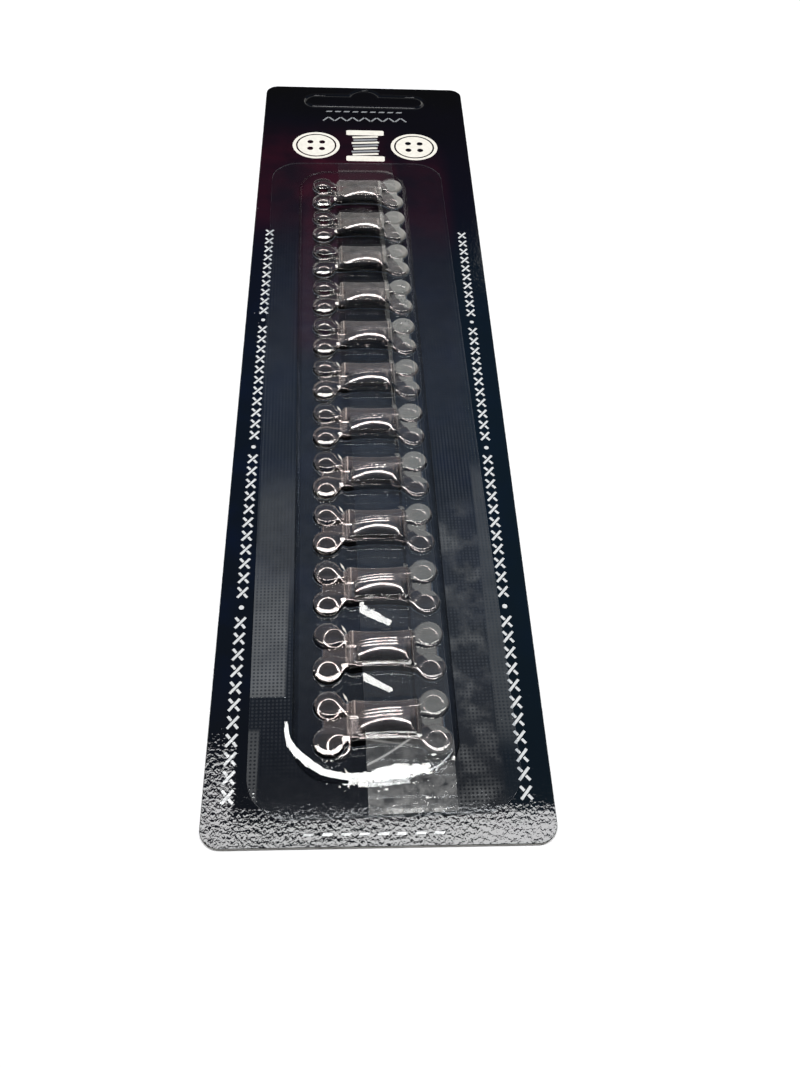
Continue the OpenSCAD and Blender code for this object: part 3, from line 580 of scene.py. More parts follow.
def card_print_material():
    n = Nodes("card_print")
    vec, x, y, z = n.coords()
    cloud = n.noise(vec, 0.055, 3.0)
    cloud2 = n.noise(n.mapped(vec, loc=(31, 7, 0)), 0.11, 4.0)
    along = n.node("MapRange", {"Value": y, "From Min": -100.0, "From Max": 100.0}).outputs[0]
    along = n.math("ADD", along, n.math("MULTIPLY", n.math("SUBTRACT", cloud, 0.5), 0.25))
    base = n.ramp(along, [(0.0, (0.0035, 0.004, 0.0055)), (0.12, (0.0022, 0.003, 0.005)), (0.4, (0.0016, 0.003, 0.006)),
                          (0.66, (0.0018, 0.0022, 0.0065)), (0.84, (0.0022, 0.002, 0.0048)), (1.0, (0.0018, 0.0018, 0.002))])
    # dark red glow at the upper left of the blister, and under the first five clasps
    red = n.math("MULTIPLY", n.math("MULTIPLY", n.band(y, 50.0, 66.0, 20.0), n.band(x, -25.0, -1.0, 13.0)), 0.45)
    glow = n.math("MULTIPLY", n.band(y, 54.0, 63.5, 8.0), n.band(x, -13.5, 3.0, 7.0))
    red = n.math("MAXIMUM", red, glow)
    red2 = n.math("MULTIPLY", n.band(y, 6.0, 60.0, 12.0), n.band(x, -12.5, -6.5, 4.0))
    red3 = n.math("MULTIPLY", n.band(y, 40.0, 62.0, 14.0), n.band(x, 10.0, 16.0, 5.0))
    red = n.math("MAXIMUM", red, n.math("MULTIPLY", red2, 0.7))
    red = n.math("MAXIMUM", red, n.math("MULTIPLY", red3, 0.35))
    blot = n.node("MapRange", {"Value": cloud2, "From Min": 0.36, "From Max": 0.6}).outputs[0]
    red = n.math("MULTIPLY", red, n.math("MULTIPLY_ADD", blot, 0.65, 0.35))
    col = n.mix(red, base, (0.034, 0.0035, 0.0095))
    # a deep blue bloom on the lower half
    blue = n.math("MULTIPLY", n.band(y, -60.0, 10.0, 30.0), n.node("MapRange", {"Value": cloud2, "From Min": 0.45, "From Max": 0.65}).outputs[0])
    col = n.mix(n.math("MULTIPLY", blue, 0.7), col, (0.0016, 0.0036, 0.0125))
    teal = n.math("MULTIPLY", n.band(x, 19.5, 30.0, 3.0), n.band(y, -90.0, 20.0, 30.0))
    col = n.mix(n.math("MULTIPLY", teal, 0.6), col, (0.002, 0.0065, 0.0105))
    # scuffs: tiny pale flecks, thickest on the left margin
    cells = n.node("TexVoronoi", {"Vector": n.mapped(vec, scale=(1.0, 0.7, 0.0)), "Scale": 0.9, "Randomness": 1.0})
    fleck = n.node("MapRange", {"Value": cells.outputs["Distance"], "From Min": 0.06, "From Max": 0.13, "To Min": 1.0, "To Max": 0.0}).outputs[0]
    few = n.math("GREATER_THAN", n.node("SeparateColor", {0: cells.outputs["Color"]}).outputs[0], 0.86)
    where = n.math("MAXIMUM", n.math("MULTIPLY", n.band(x, -26.0, -22.6, 1.2), n.band(y, -20.0, 70.0, 20.0)), 0.04)
    fleck = n.math("MULTIPLY", n.math("MULTIPLY", fleck, few), where)
    col = n.mix(n.math("MULTIPLY", fleck, 0.35), col, (0.4, 0.4, 0.42))
    normal = laminate_bump(n, vec)
    rough = n.node("MapRange", {"Value": n.noise(vec, 0.5, 4.0), "To Min": 0.36, "To Max": 0.5}).outputs[0]
    p = n.principled(Base_Color=col, Roughness=rough, Specular_IOR_Level=0.0, Coat_Weight=1.0, Coat_Roughness=0.05, Normal=normal)
    n.put(p.inputs["Coat Normal"], normal)
    return n.finish(p.outputs[0])


def ink_material(name, colour):
    """Pale ink under the same laminate, a little uneven."""
    n = Nodes(name)
    vec, x, y, z = n.coords()
    lo = tuple(c * 0.86 for c in colour)
    col = n.ramp(n.noise(vec, 1.2, 4.0), [(0.3, lo), (0.7, colour)])
    normal = laminate_bump(n, vec)
    p = n.principled(Base_Color=col, Roughness=0.45, Specular_IOR_Level=0.0, Coat_Weight=1.0, Coat_Roughness=0.05, Normal=normal)
    n.put(p.inputs["Coat Normal"], normal)
    return n.finish(p.outputs[0])


def board_material():
    """The cut edge and back of the board: grey pulp in thin layers."""
    n = Nodes("card_board")
    vec, x, y, z = n.coords()
    fibre = n.noise(n.mapped(vec, scale=(1.0, 1.0, 14.0)), 1.4, 6.0, 0.65)
    col = n.ramp(fibre, [(0.25, (0.30, 0.29, 0.27)), (0.55, (0.46, 0.45, 0.42)), (0.8, (0.58, 0.57, 0.54))])
    normal = n.bump(n.noise(vec, 3.5, 5.0), 0.02)
    p = n.principled(Base_Color=col, Roughness=0.85, Normal=normal)
    return n.finish(p.outputs[0])


def metal_material(name, dark, light, along):
    """Dark nickel plate: rubbed streaks along the metal, a brownish cast, tiny pits."""
    n = Nodes(name)
    vec, x, y, z = n.coords()
    streaks = n.noise(n.mapped(vec, scale=along), 1.6, 5.0, 0.6)
    blotch = n.noise(vec, 0.7, 3.0)
    col = n.ramp(blotch, [(0.3, dark), (0.7, light)])
    col = n.mix(n.node("MapRange", {"Value": streaks, "From Min": 0.5, "From Max": 0.75, "To Max": 0.35}).outputs[0], col, (0.46, 0.42, 0.40))
    rough = n.node("MapRange", {"Value": streaks, "From Min": 0.3, "From Max": 0.7, "To Min": 0.14, "To Max": 0.26}).outputs[0]
    normal = n.bump(streaks, 0.01)
    normal = n.bump(n.noise(vec, 5.0, 3.0), 0.005, normal=normal)
    p = n.principled(Base_Color=col, Metallic=0.93, Roughness=rough, Specular_IOR_Level=0.3, Coat_Weight=0.35, Coat_Roughness=0.06, Normal=normal)
    n.put(p.inputs["Coat Normal"], normal)
    return n.finish(p.outputs[0])


def floor_material():
    n = Nodes("floor_white")
    vec, x, y, z = n.coords()
    col = n.ramp(n.noise(vec, 0.01, 2.0), [(0.3, (0.80, 0.80, 0.80)), (0.7, (0.84, 0.84, 0.84))])
    # the studio's own light on the floor, out where the lamps over the card don't reach
    away = n.math("SQRT", n.math("ADD", n.math("MULTIPLY", x, x), n.math("MULTIPLY", y, y)))
    spill = n.node("MapRange", {"Value": away, "From Min": 260.0, "From Max": 950.0, "To Min": 0.0, "To Max": 0.88}, interpolation_type="SMOOTHSTEP").outputs[0]
    p = n.principled(Base_Color=col, Roughness=0.9, Emission_Color=(1.0, 1.0, 1.0), Emission_Strength=spill)
    return n.finish(p.outputs[0])


M_PRINT = card_print_material()
M_CREAM = ink_material("ink_cream", (0.80, 0.77, 0.69))
M_WHITE = ink_material("ink_white", (0.62, 0.63, 0.63))
M_GREY = ink_material("ink_grey", (0.27, 0.28, 0.29))
M_BOARD = board_material()
M_FILM = film_material("clear_blister", (0.95, 0.96, 0.97, 1), (0.05, 0.055, 0.052, 1), (0.95, 0.945, 0.92), 0.088, 0.05, True, 0.018)
M_STRIP = film_material("clear_strip", (0.96, 0.97, 0.975, 1), (0.6, 0.61, 0.62, 1), (0.96, 0.955, 0.93), 0.075, 0.06, False, 0.08)
M_BACK = film_back_material("film_inner_face")
M_CUT = cut_edge_material("film_cut_edge")
M_HOOK = metal_material("nickel_hook", (0.19, 0.137, 0.126), (0.33, 0.30, 0.278), (0.12, 1.0, 1.0))
M_EYE = metal_material("nickel_eye", (0.18, 0.13, 0.12), (0.31, 0.28, 0.26), (0.6, 1.0, 1.0))


# ---------------------------------------------------------------------------- card
def rounded_loop(w, l, r, inset=0.0, seg=12):
    """Points round a rounded rectangle, counterclockwise."""
    w, l, r = w / 2 - inset, l / 2 - inset, max(r - inset, 0.01)
    pts = []
    for cx, cy, a0 in ((w - r, l - r, 0), (-(w - r), l - r, 90), (-(w - r), -(l - r), 180), (w - r, -(l - r), 270)):
        for j in range(seg + 1):
            a = math.radians(a0 + 90 * j / seg)
            pts.append((cx + r * math.cos(a), cy + r * math.sin(a)))
    return pts


def slot_distance(x, y):
    """Distance from the line of the hang slot's outline; minus is inside."""
    y = y - SLOT_Y
    half = (SLOT_W - SLOT_H) / 2
    bar = np.hypot(np.maximum(np.abs(x) - half, 0), y) - SLOT_H / 2
    hump = np.hypot(x, y - (SLOT_HUMP - SLOT_H) / 2) - SLOT_HUMP / 2
    return np.minimum(bar, hump)


def slot_loop(off, seg=14):
    """Points round the hang slot's outline, moved outwards by off."""
    h, half = SLOT_H / 2 + off, (SLOT_W - SLOT_H) / 2
    rh, cy = SLOT_HUMP / 2 + off, (SLOT_HUMP - SLOT_H) / 2
    pts = []
    for j in range(seg + 1):  # right end
        a = math.radians(-90 + 180 * j / seg)
        pts.append((half + h * math.cos(a), h * math.sin(a)))
    a1 = math.asin((h - cy) / rh)
    for j in range(seg + 1):  # hump, above the bar
        a = a1 + (math.pi - 2 * a1) * j / seg
        pts.append((rh * math.cos(a), cy + rh * math.sin(a)))
    for j in range(seg + 1):  # left end
        a = math.radians(90 + 180 * j / seg)
        pts.append((-half + h * math.cos(a), h * math.sin(a)))
    return [(px, py + SLOT_Y) for px, py in pts]


def slot_height(d):
    """The pressed line: a rounded groove with a soft raised lip on both sides."""
    return -0.14 * np.exp(-(d / 0.2) ** 2) + 0.035 * np.exp(-((np.abs(d) - 0.55) / 0.25) ** 2)


def stroke(p, q, w, slant=0.0):
    """A short stroke of thread from p to q with slanted ends."""
    p, q = np.array(p, float), np.array(q, float)
    t = (q - p) / np.linalg.norm(q - p)
    s = np.array([-t[1], t[0]]) * w / 2
    k = t * slant * w / 2
    pts = [p - s - k, q - s - k, q + s + k, p + s + k]
    return [tuple(c) for c in pts]


def disc(cx, cy, r, seg=40):
    return [(cx + r * math.cos(2 * math.pi * j / seg), cy + r * math.sin(2 * math.pi * j / seg)) for j in range(seg)]


def button_art(cx, cy, r):
    """A flat round button: an outer rim, a gap, a face with four holes. Each is (loop, ink)."""
    art = [(disc(cx, cy, r, 56), "cream"), (disc(cx, cy, r * 0.86, 48), "none"), (disc(cx, cy, r * 0.79, 48), "cream")]
    for sx in (-1, 1):
        for sy in (-1, 1):
            art.append((disc(cx + sx * r * 0.25, cy + sy * r * 0.25, r * 0.13, 18), "none"))
    return art


def spool_art(cx, cy):
    """A cotton reel seen from the side: two flanges and a waist of wound thread."""
    art = []
    for s in (-1, 1):
        y = cy + s * 5.6
        art.append(([(cx - 4.6, y - 0.85), (cx - 4.2, y - 1.1), (cx + 4.2, y - 1.1), (cx + 4.6, y - 0.85),
                     (cx + 4.6, y + 0.85), (cx + 4.2, y + 1.1), (cx - 4.2, y + 1.1), (cx - 4.6, y + 0.85)], "cream"))
    for j in range(7):
        y = cy - 3.75 + j * 1.25
        w = 3.1 + 0.25 * math.sin(j * 2.1)
        art.append(([(cx - w, y - 0.5), (cx - w + 0.3, y - 0.62), (cx + w, y - 0.12), (cx + w + 0.1, y + 0.4),
                     (cx + w - 0.3, y + 0.62), (cx - w, y + 0.12)], "grey" if j % 2 else "cream"))
    return art


def printed_art():
    """Everything printed on the card: a sewing motif at the top, a zigzag seam under the slot, and a
    row of cross stitches along both long edges."""
    art = []
    art += button_art(-11.9, 73.0, 5.7)
    art += spool_art(0.0, 73.2)
    art += button_art(11.9, 73.0, 5.7)
    for j in range(9):  # running stitches
        art.append((stroke((-9.6 + j * 2.2, 88.4), (-8.2 + j * 2.2, 88.4), 0.5, 0.6), "grey"))
    for j in range(8):
        art.append((stroke((-10.6 + j * 2.6, -98.2), (-9.2 + j * 2.6, -98.2), 0.34, 0.6), "white"))
    y = 84.9
    for j in range(14):  # zigzag seam
        x0 = -10.5 + j * 1.5
        a, b = (x0, y - 0.8), (x0 + 1.5, y + 0.8)
        if j % 2:
            a, b = (x0, y + 0.8), (x0 + 1.5, y - 0.8)
        a = (a[0] + 0.12, a[1])
        b = (b[0] - 0.12, b[1])
        art.append((stroke(a, b, 0.42), "grey"))
    for x, y1, y0 in ((-21.5, 42.0, -94.0), (21.1, 42.0, -94.0)):
        lean = -0.0055 if x < 0 else 0.0
        n = int((y1 - y0) / 2.9)
        for j in range(n):
            yy = y0 + (j + 0.5) * 2.9
            if (j % 12) == 11:
                art.append((disc(x, yy, 0.42, 14), "white"))
                continue
            art.append((stroke((x - 0.8, yy - 1.0), (x + 0.8, yy + 1.0), 0.42), "white"))
            art.append((stroke((x + 0.8, yy - 1.0), (x + 0.24, yy - 0.3), 0.42), "white"))
            art.append((stroke((x - 0.24, yy + 0.3), (x - 0.8, yy + 1.0), 0.42), "white"))
    return art


def inside(loop, pts):
    """Which of pts lie inside the loop."""
    poly = np.asarray(loop)
    x, y = pts[:, 0][:, None], pts[:, 1][:, None]
    x1, y1 = poly[:, 0][None], poly[:, 1][None]
    x2, y2 = np.roll(poly[:, 0], -1)[None], np.roll(poly[:, 1], -1)[None]
    cross = ((y1 > y) != (y2 > y)) & (x < (x2 - x1) * (y - y1) / (y2 - y1 + 1e-12) + x1)
    return cross.sum(1) % 2 == 1


def build_card():
    seg = 12
    rim = rounded_loop(CARD_W, CARD_L, CARD_R, 0.07, seg)
    loops = [rim]
    for off in (-0.95, -0.7, -0.5, -0.3, -0.18, -0.07, 0.07, 0.18, 0.3, 0.5, 0.7, 0.95):
        loops.append(slot_loop(off))
    art = printed_art()
    loops += [loop for loop, ink in art]
    pts, edges = [], []
    for loop in loops:
        base = len(pts)
        pts += [Vector(p) for p in loop]
        edges += [(base + i, base + (i + 1) % len(loop)) for i in range(len(loop))]
    v, e, f, *_ = delaunay_2d_cdt(pts, edges, [], 1, 1e-5)
    co = np.array([tuple(p) for p in v])
    tri = np.array([list(t) for t in f if len(t) == 3])
    mid = co[tri].mean(1)
    slots = np.zeros(len(tri), int)
    index = {"none": 0, "cream": 1, "white": 2, "grey": 3}
    for loop, ink in art:
        lo, hi = np.min(loop, axis=0), np.max(loop, axis=0)
        near = np.flatnonzero(((mid >= lo) & (mid <= hi)).all(1))
        if len(near):
            hit = near[inside(loop, mid[near])]
            slots[hit] = index[ink]
    area = np.cross(co[tri[:, 1]] - co[tri[:, 0]], co[tri[:, 2]] - co[tri[:, 0]])
    tri[area < 0] = tri[area < 0][:, ::-1]
    d = slot_distance(co[:, 0], co[:, 1])
    z = np.full(len(co), CARD_T)
    near = np.abs(d) < 1.4
    z[near] += slot_height(d[near])
    top = np.column_stack([co, z])
    # the rim: a rounded cut edge down to the back
    key = {(round(p[0], 4), round(p[1], 4)): i for i, p in enumerate(co)}
    first = [key[(round(p[0], 4), round(p[1], 4))] for p in rim]
    rings = [first]
    extra = []
    for inset, z in ((0.0, CARD_T - 0.06), (0.0, 0.05), (0.05, 0.0)):
        loop = rounded_loop(CARD_W, CARD_L, CARD_R, inset, seg)
        rings.append([len(top) + len(extra) + i for i in range(len(loop))])
        extra += [(px, py, z) for px, py in loop]
    faces = [list(t) for t in tri]
    slot_list = list(slots)
    m = len(rim)
    for a, b, slot in ((0, 1, 0), (1, 2, 4), (2, 3, 4)):
        for i in range(m):
            j = (i + 1) % m
            faces.append([rings[b][i], rings[b][j], rings[a][j], rings[a][i]])
            slot_list.append(slot)
    faces.append(rings[3][::-1])
    slot_list.append(4)
    ob = make_mesh("printed_card", np.vstack([top, np.array(extra)]), faces,
                   [M_PRINT, M_CREAM, M_WHITE, M_GREY, M_BOARD], slot_list, smooth=False)
    smooth = np.zeros(len(faces), bool)
    dm = slot_distance(mid[:, 0], mid[:, 1])
    smooth[: len(tri)] = np.abs(dm) < 1.2
    smooth[len(tri): len(tri) + 3 * m] = False
    ob.data.polygons.foreach_set("use_smooth", smooth)
    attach(ob, "root")
    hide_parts("card")
    return ob


# ---------------------------------------------------------------------------- blister
def soft_max(a, b, k):
    h = np.maximum(k - np.abs(a - b), 0) / k
    return np.maximum(a, b) + h * h * k / 4


def in_circle(u, v, cu, cv, r):
    return r - np.hypot(u - cu, v - cv)


def in_box(u, v, u0, u1, v0, v1, r, ku0=1.0, ku1=1.0):
    """Distance inside a rounded box; ku0 and ku1 stretch it across its two ends."""
    du = np.minimum((u - u0) * ku0, (u1 - u) * ku1)
    dv = np.minimum(v - v0, v1 - v)
    a, b = r - du, r - dv
    return np.where((a > 0) & (b > 0), r - np.hypot(np.maximum(a, 0), np.maximum(b, 0)), np.minimum(du, dv))


def wall(d, width, height, e=2.3):
    """Height of a rounded wall at a distance d inside its foot."""
    t = np.clip(d / width, 0, 1)
    up = height * (1 - (1 - t) ** e) ** (1 / e)
    return np.where(d > 0, up, np.maximum(d * 4, -3.0))


def brimmed(d, height, slope):
    """The profile of the lower left lobes: a steep wall, an even brim, a flat roof. The brims
    are steeper at the top of the card than at its bottom."""
    flat = np.clip(d, 0, 0.66) + np.where(d > 0.66, 0.17 - np.clip(1.0 - d, 0, 0.34) ** 2 / 0.68, 0)
    return wall(d, 0.2, height - 0.83 * slope, 2.2) + slope * np.where(d > 0, flat, 0)


def lobe(d, height, crest, brim):
    """A lobe's profile: a steep wall up to a gently crowned roof."""
    cap = crest * (1 - (1 - np.clip(d / brim, 0, 1)) ** 2)
    return wall(d, 0.62, height - crest, 2.4) + np.where(d > 0, cap, 0)


def pocket_height(u, v, k):
    """Height of one pocket's outer face over the card's face."""
    w = np.abs(v)
    left = soft_max(in_circle(u, w, -HALF_L, HOOK_SP / 2, 2.42), in_box(u, w, -7.6, -3.3, 1.0, 3.2, 0.3), 0.9)
    brim = np.interp(k, [0, 4, 7, 11], [0.55, 0.45, 0.315, 0.195])
    left = np.where(v < 0, brimmed(left, 2.35, brim), lobe(left, 2.35, 0.1, 0.9))
    web_l = wall(in_box(u, w, -9.0, -3.3, -9.0, 2.6, 0.6), 0.8, 1.62, 2.2)
    arch = ((u - 0.6) / 4.6) ** 2
    waist = 3.2 + 0.5 * arch
    body = in_box(u, w - waist, -5.15, 5.95, -99.0, 0.0, 0.9, ku0=0.72, ku1=0.8)
    body = wall(body, 0.8 + 0.42 * np.minimum(arch, 1.2), 3.25, 2.5)
    right = soft_max(in_circle(u, w, HALF_L + 0.1, BAR_SP / 2, 2.48), in_box(u, w, 4.6, 8.3, 0.78, 3.62, 0.3), 1.2)
    right = lobe(right, 2.1, 0.16, 1.1)
    web_r = wall(in_box(u, w, 4.6, 9.45, -9.0, 2.6, 0.6), 0.8, 1.6, 2.2)
    h = soft_max(left, web_l, 0.35)
    h = soft_max(h, body, 0.25)
    h = soft_max(h, web_r, 0.35)
    return soft_max(h, right, 0.25)


def platform_height(x, y):
    px, py = np.abs(x - PLAT_AT[0]), np.abs(y - PLAT_AT[1])
    d = in_box(px, py, -99, PLAT_W / 2, -99, PLAT_L / 2, PLAT_R)
    return wall(d, 1.3, PLAT_TOP, 2.6)


def film_height(x, y):
    """Height of the blister's outer face over the card's face, in the blister's own frame."""
    h = np.full(np.shape(x), GAP + FILM_T)
    h = soft_max(h, platform_height(x, y), 0.35)
    k = np.clip(np.round((FIRST_Y - y) / PITCH), 0, UNITS - 1)
    v = y - (FIRST_Y - k * PITCH)
    best = pocket_height(x - UNIT_X, v, k)
    for s in (-1, 1):  # a neighbour's lobe can reach over the middle line
        kk = k + s
        ok = (kk >= 0) & (kk <= UNITS - 1)
        other = pocket_height(x - UNIT_X, v + s * PITCH, kk)
        best = np.where(ok, soft_max(best, other, 0.4), best)
    return soft_max(h, best, 0.14)


def slope_normals(f, x, y, e=0.01):
    gx = (f(x + e, y) - f(x - e, y)) / (2 * e)
    gy = (f(x, y + e) - f(x, y - e)) / (2 * e)
    n = np.stack([-gx, -gy, np.ones_like(gx)], -1)
    return n / np.linalg.norm(n, axis=-1)[..., None]


def spaced(breaks):
    """Coordinates with a chosen spacing between each pair of breaks: [(start, step), ..., (end,)]."""
    out = []
    for (a, step), nxt in zip(breaks[:-1], breaks[1:]):
        n = max(int(round((nxt[0] - a) / step)), 1)
        out += list(np.linspace(a, nxt[0], n, endpoint=False))
    return np.array(out + [breaks[-1][0]])


def to_outline(x, y):
    """Points outside the flange's rounded corners, moved onto its outline; also which ones."""
    hx, hy, r = FLANGE_W / 2, FLANGE_L / 2, FLANGE_R
    cx, cy = np.abs(x) - (hx - r), np.abs(y) - (hy - r)
    d = np.hypot(np.maximum(cx, 0), np.maximum(cy, 0))
    out = (cx > 0) & (cy > 0) & (d > r)
    s = np.where(out, r / np.maximum(d, 1e-9), 1.0)
    nx = np.where(out, np.sign(x) * (hx - r + cx * s), x)
    ny = np.where(out, np.sign(y) * (hy - r + cy * s), y)
    return nx, ny, out


def edge_of(co, tri):
    """Vertices on the border of a sheet, in order of their angle round its middle."""
    n = len(co)
    e = np.vstack([tri[:, [0, 1]], tri[:, [1, 2]], tri[:, [2, 0]]]).astype(np.int64)
    e.sort(axis=1)
    code, count = np.unique(e[:, 0] * n + e[:, 1], return_counts=True)
    one = code[count == 1]
    v = np.unique(np.concatenate([one // n, one % n]))
    c = (co.max(0) + co.min(0)) / 2
    angle = np.arctan2(co[v, 1] - c[1], co[v, 0] - c[0])
    order = np.argsort(angle)
    return v[order], angle[order]


def joined(top, bottom, materials, name):
    """A closed film from its outer and inner sheets, each (points, triangles, normals), and the
    cut edge between their borders. The sheets need not have the same triangles."""
    co = np.vstack([top[0], bottom[0]])
    n = len(top[0])
    va, aa = edge_of(top[0], top[1])
    vb, ab = edge_of(bottom[0], bottom[1])
    vb = vb + n
    rim = []
    i = j = 0
    while i < len(va) or j < len(vb):
        ni = aa[i + 1] if i + 1 < len(va) else aa[0] + 2 * math.pi
        nj = ab[j + 1] if j + 1 < len(vb) else ab[0] + 2 * math.pi
        p, q = va[i % len(va)], vb[j % len(vb)]
        if j >= len(vb) or (i < len(va) and ni <= nj):
            rim.append((p, q, va[(i + 1) % len(va)]))
            i += 1
        else:
            rim.append((p, q, vb[(j + 1) % len(vb)]))
            j += 1
    rim = np.array(rim)
    c = (co.max(0) + co.min(0)) / 2
    fn = np.cross(co[rim[:, 1]] - co[rim[:, 0]], co[rim[:, 2]] - co[rim[:, 0]])
    inward = np.einsum("ij,ij->i", fn[:, :2], (co[rim].mean(1) - c)[:, :2]) < 0
    rim[inward] = rim[inward][:, ::-1]
    faces = np.vstack([top[1], bottom[1][:, ::-1] + n, rim])
    slots = np.repeat([0, 2, 1], [len(top[1]), len(bottom[1]), len(rim)])
    ob = make_mesh(name, co, faces, materials, slots)
    normals = np.vstack([top[2], -bottom[2]])
    split = normals[faces.ravel()]
    # at a sharp foot the steep faces keep their own normal, so that its light stays a fine line
    flat = np.cross(co[faces[:, 1]] - co[faces[:, 0]], co[faces[:, 2]] - co[faces[:, 0]])
    flat = np.repeat(flat / np.maximum(np.linalg.norm(flat, axis=1), 1e-12)[:, None], 3, axis=0)
    away = np.einsum("ij,ij->i", split, flat) < math.cos(math.radians(32))
    split[away] = flat[away]
    side = np.cross(co[rim[:, 1]] - co[rim[:, 0]], co[rim[:, 2]] - co[rim[:, 0]])
    side /= np.maximum(np.linalg.norm(side, axis=1), 1e-9)[:, None]
    split[-3 * len(rim):] = np.repeat(side, 3, axis=0)
    if len(ob.data.loops) == len(split):
        ob.data.normals_split_custom_set(split.tolist())
    return ob


def build_blister():
    fine = 0.16
    xs = spaced([(-FLANGE_W / 2, 0.5), (-14.4, fine), (12.2, 0.5), (FLANGE_W / 2,)])
    ys = spaced([(-FLANGE_L / 2, 0.4), (-76.8, fine), (77.4, 0.4), (FLANGE_L / 2,)])
    gx, gy = np.meshgrid(xs, ys)
    x, y, out = to_outline(gx, gy)
    quads = grid_faces(len(ys), len(xs))
    quads = quads[~out.ravel()[quads].all(1)]
    tri = np.vstack([quads[:, [0, 1, 2]], quads[:, [0, 2, 3]]])
    used = np.unique(tri)
    back = np.full(x.size, -1)
    back[used] = np.arange(len(used))
    tri = back[tri]
    x, y = x.ravel()[used], y.ravel()[used]
    co = np.column_stack([x, y, CARD_T + film_height(x, y)])
    area = np.linalg.norm(np.cross(co[tri[:, 1]] - co[tri[:, 0]], co[tri[:, 2]] - co[tri[:, 0]]), axis=1)
    tri = tri[area > 1e-7]
    sheets = []
    for want, depth in ((142_000, 0.0), (42_000, FILM_T)):
        me = through(make_mesh("blister_grid", co, tri, []), ("DECIMATE", {"ratio": want / len(tri), "use_collapse_triangulate": True}))
        c, t = arrays_of(me)
        bpy.data.meshes.remove(me)
        c[:, 2] = CARD_T + film_height(c[:, 0], c[:, 1])
        normals = slope_normals(film_height, c[:, 0], c[:, 1])
        c = c - normals * depth
        c[:, :2] = blister_to_card(c[:, :2])
        normals[:, :2] = turned(normals[:, :2], SKEW)
        sheets.append((c, t, normals))
    ob = joined(sheets[0], sheets[1], [M_FILM, M_CUT, M_BACK], "clear_blister")
    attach(ob, "root")
    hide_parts("blister")
    return ob


# ---------------------------------------------------------------------------- clear strip
def strip_heights(a, b):
    """The strip's underside over the card's face: a film drawn tight along its length, held up by
    the pockets, lying on the flange at both ends, with its creases."""
    ga, gb = np.meshgrid(a, b)
    card = strip_to_card(np.stack([ga, gb], -1))
    loc = card_to_blister(card)
    under = film_height(loc[..., 0], loc[..., 1]) + 0.05
    step = b[1] - b[0]
    n = int(round(3.4 / step))
    z = under.copy()
    for s in range(1, n + 1):  # bridge the gaps narrower than twice this reach
        z[s:] = np.maximum(z[s:], under[:-s])
        z[:-s] = np.maximum(z[:-s], under[s:])
    tight = z.copy()
    for s in range(1, n + 1):
        tight[s:] = np.minimum(tight[s:], z[:-s])
        tight[:-s] = np.minimum(tight[:-s], z[s:])
    z = np.maximum(tight, under)
    fall = 0.72 * step  # steepest way down at the ends
    for i in range(1, len(b)):
        z[i] = np.maximum(z[i], z[i - 1] - fall)
    for i in range(len(b) - 2, -1, -1):
        z[i] = np.maximum(z[i], z[i + 1] - fall)
    for _ in range(6):
        q = np.pad(z, 1, mode="edge")
        z = np.maximum(under, 0.2 * (q[:-2, 1:-1] + q[2:, 1:-1] + q[1:-1, :-2] + q[1:-1, 2:]) + 0.2 * z)
    # past the right edge of the bodies the strip stands out over the rings like a stiff sheet
    u = loc[..., 0] - UNIT_X
    span = np.clip((FIRST_Y + 3.2 - loc[..., 1]) / 1.5, 0, 1) * np.clip((loc[..., 1] - (FIRST_Y - 11 * PITCH) + 6.4) / 0.8, 0, 1)
    past = np.clip((u - 4.7) / 1.5, 0, 1)
    past = past * past * (3 - 2 * past) * span
    edge = np.array([np.interp(4.7, u[i], z[i]) for i in range(len(b))])
    edge = np.mean(edge[len(b) // 4:-len(b) // 4])
    z = np.where(past > 0, np.maximum(under, z + (edge - 0.07 * (u - 4.7) - z) * past), z)
    X, Y = card[..., 0], card[..., 1]
    t = np.clip((-90.0 - Y) / 3.2, 0, 1)
    last = PLAT_TOP + 0.05 - (PLAT_TOP - GAP - FILM_T) * t * t * (3 - 2 * t)
    z = np.where(Y < -84.0, np.maximum(z, last), z)
    free = np.clip((z - under - 0.1) / 0.9, 0, 1) * (1 - past)
    z -= 0.07 * free

    def crease(x0, y0, x1, y1, depth, width, taper=0.0):
        """A straight crease between two points of the card: sharp across, fading off its ends;
        one with a taper gets narrower towards its second point."""
        dx, dy = x1 - x0, y1 - y0
        length = math.hypot(dx, dy)
        t = ((X - x0) * dx + (Y - y0) * dy) / length
        d = np.abs((X - x0) * dy - (Y - y0) * dx) / length
        ends = np.clip(np.minimum(t + 0.6, length + 0.6 - t) / 0.6, 0, 1)
        size = 1 - taper * np.clip(t / length, 0, 1)
        return depth * size * np.clip(1 - d / (width * size), 0, 1) ** 1.25 * ends

    z -= free * crease(-3.0, -63.7, 2.0, -66.4, 0.46, 2.35, 0.4)
    z -= free * crease(-2.3, -75.9, 1.8, -78.0, 0.29, 1.4, 0.35)
    z += free * crease(-1.5, -88.6, 4.5, -85.6, 0.12, 0.35)
    z += free * crease(-1.5, -86.3, 4.5, -85.6, 0.10, 0.3)
    z -= free * crease(-1.0, 8.0, 5.0, 9.0, 0.05, 1.5)
    z -= free * crease(-1.0, -27.5, 4.0, -26.5, 0.04, 1.2)
    return ga, gb, np.maximum(z, under)


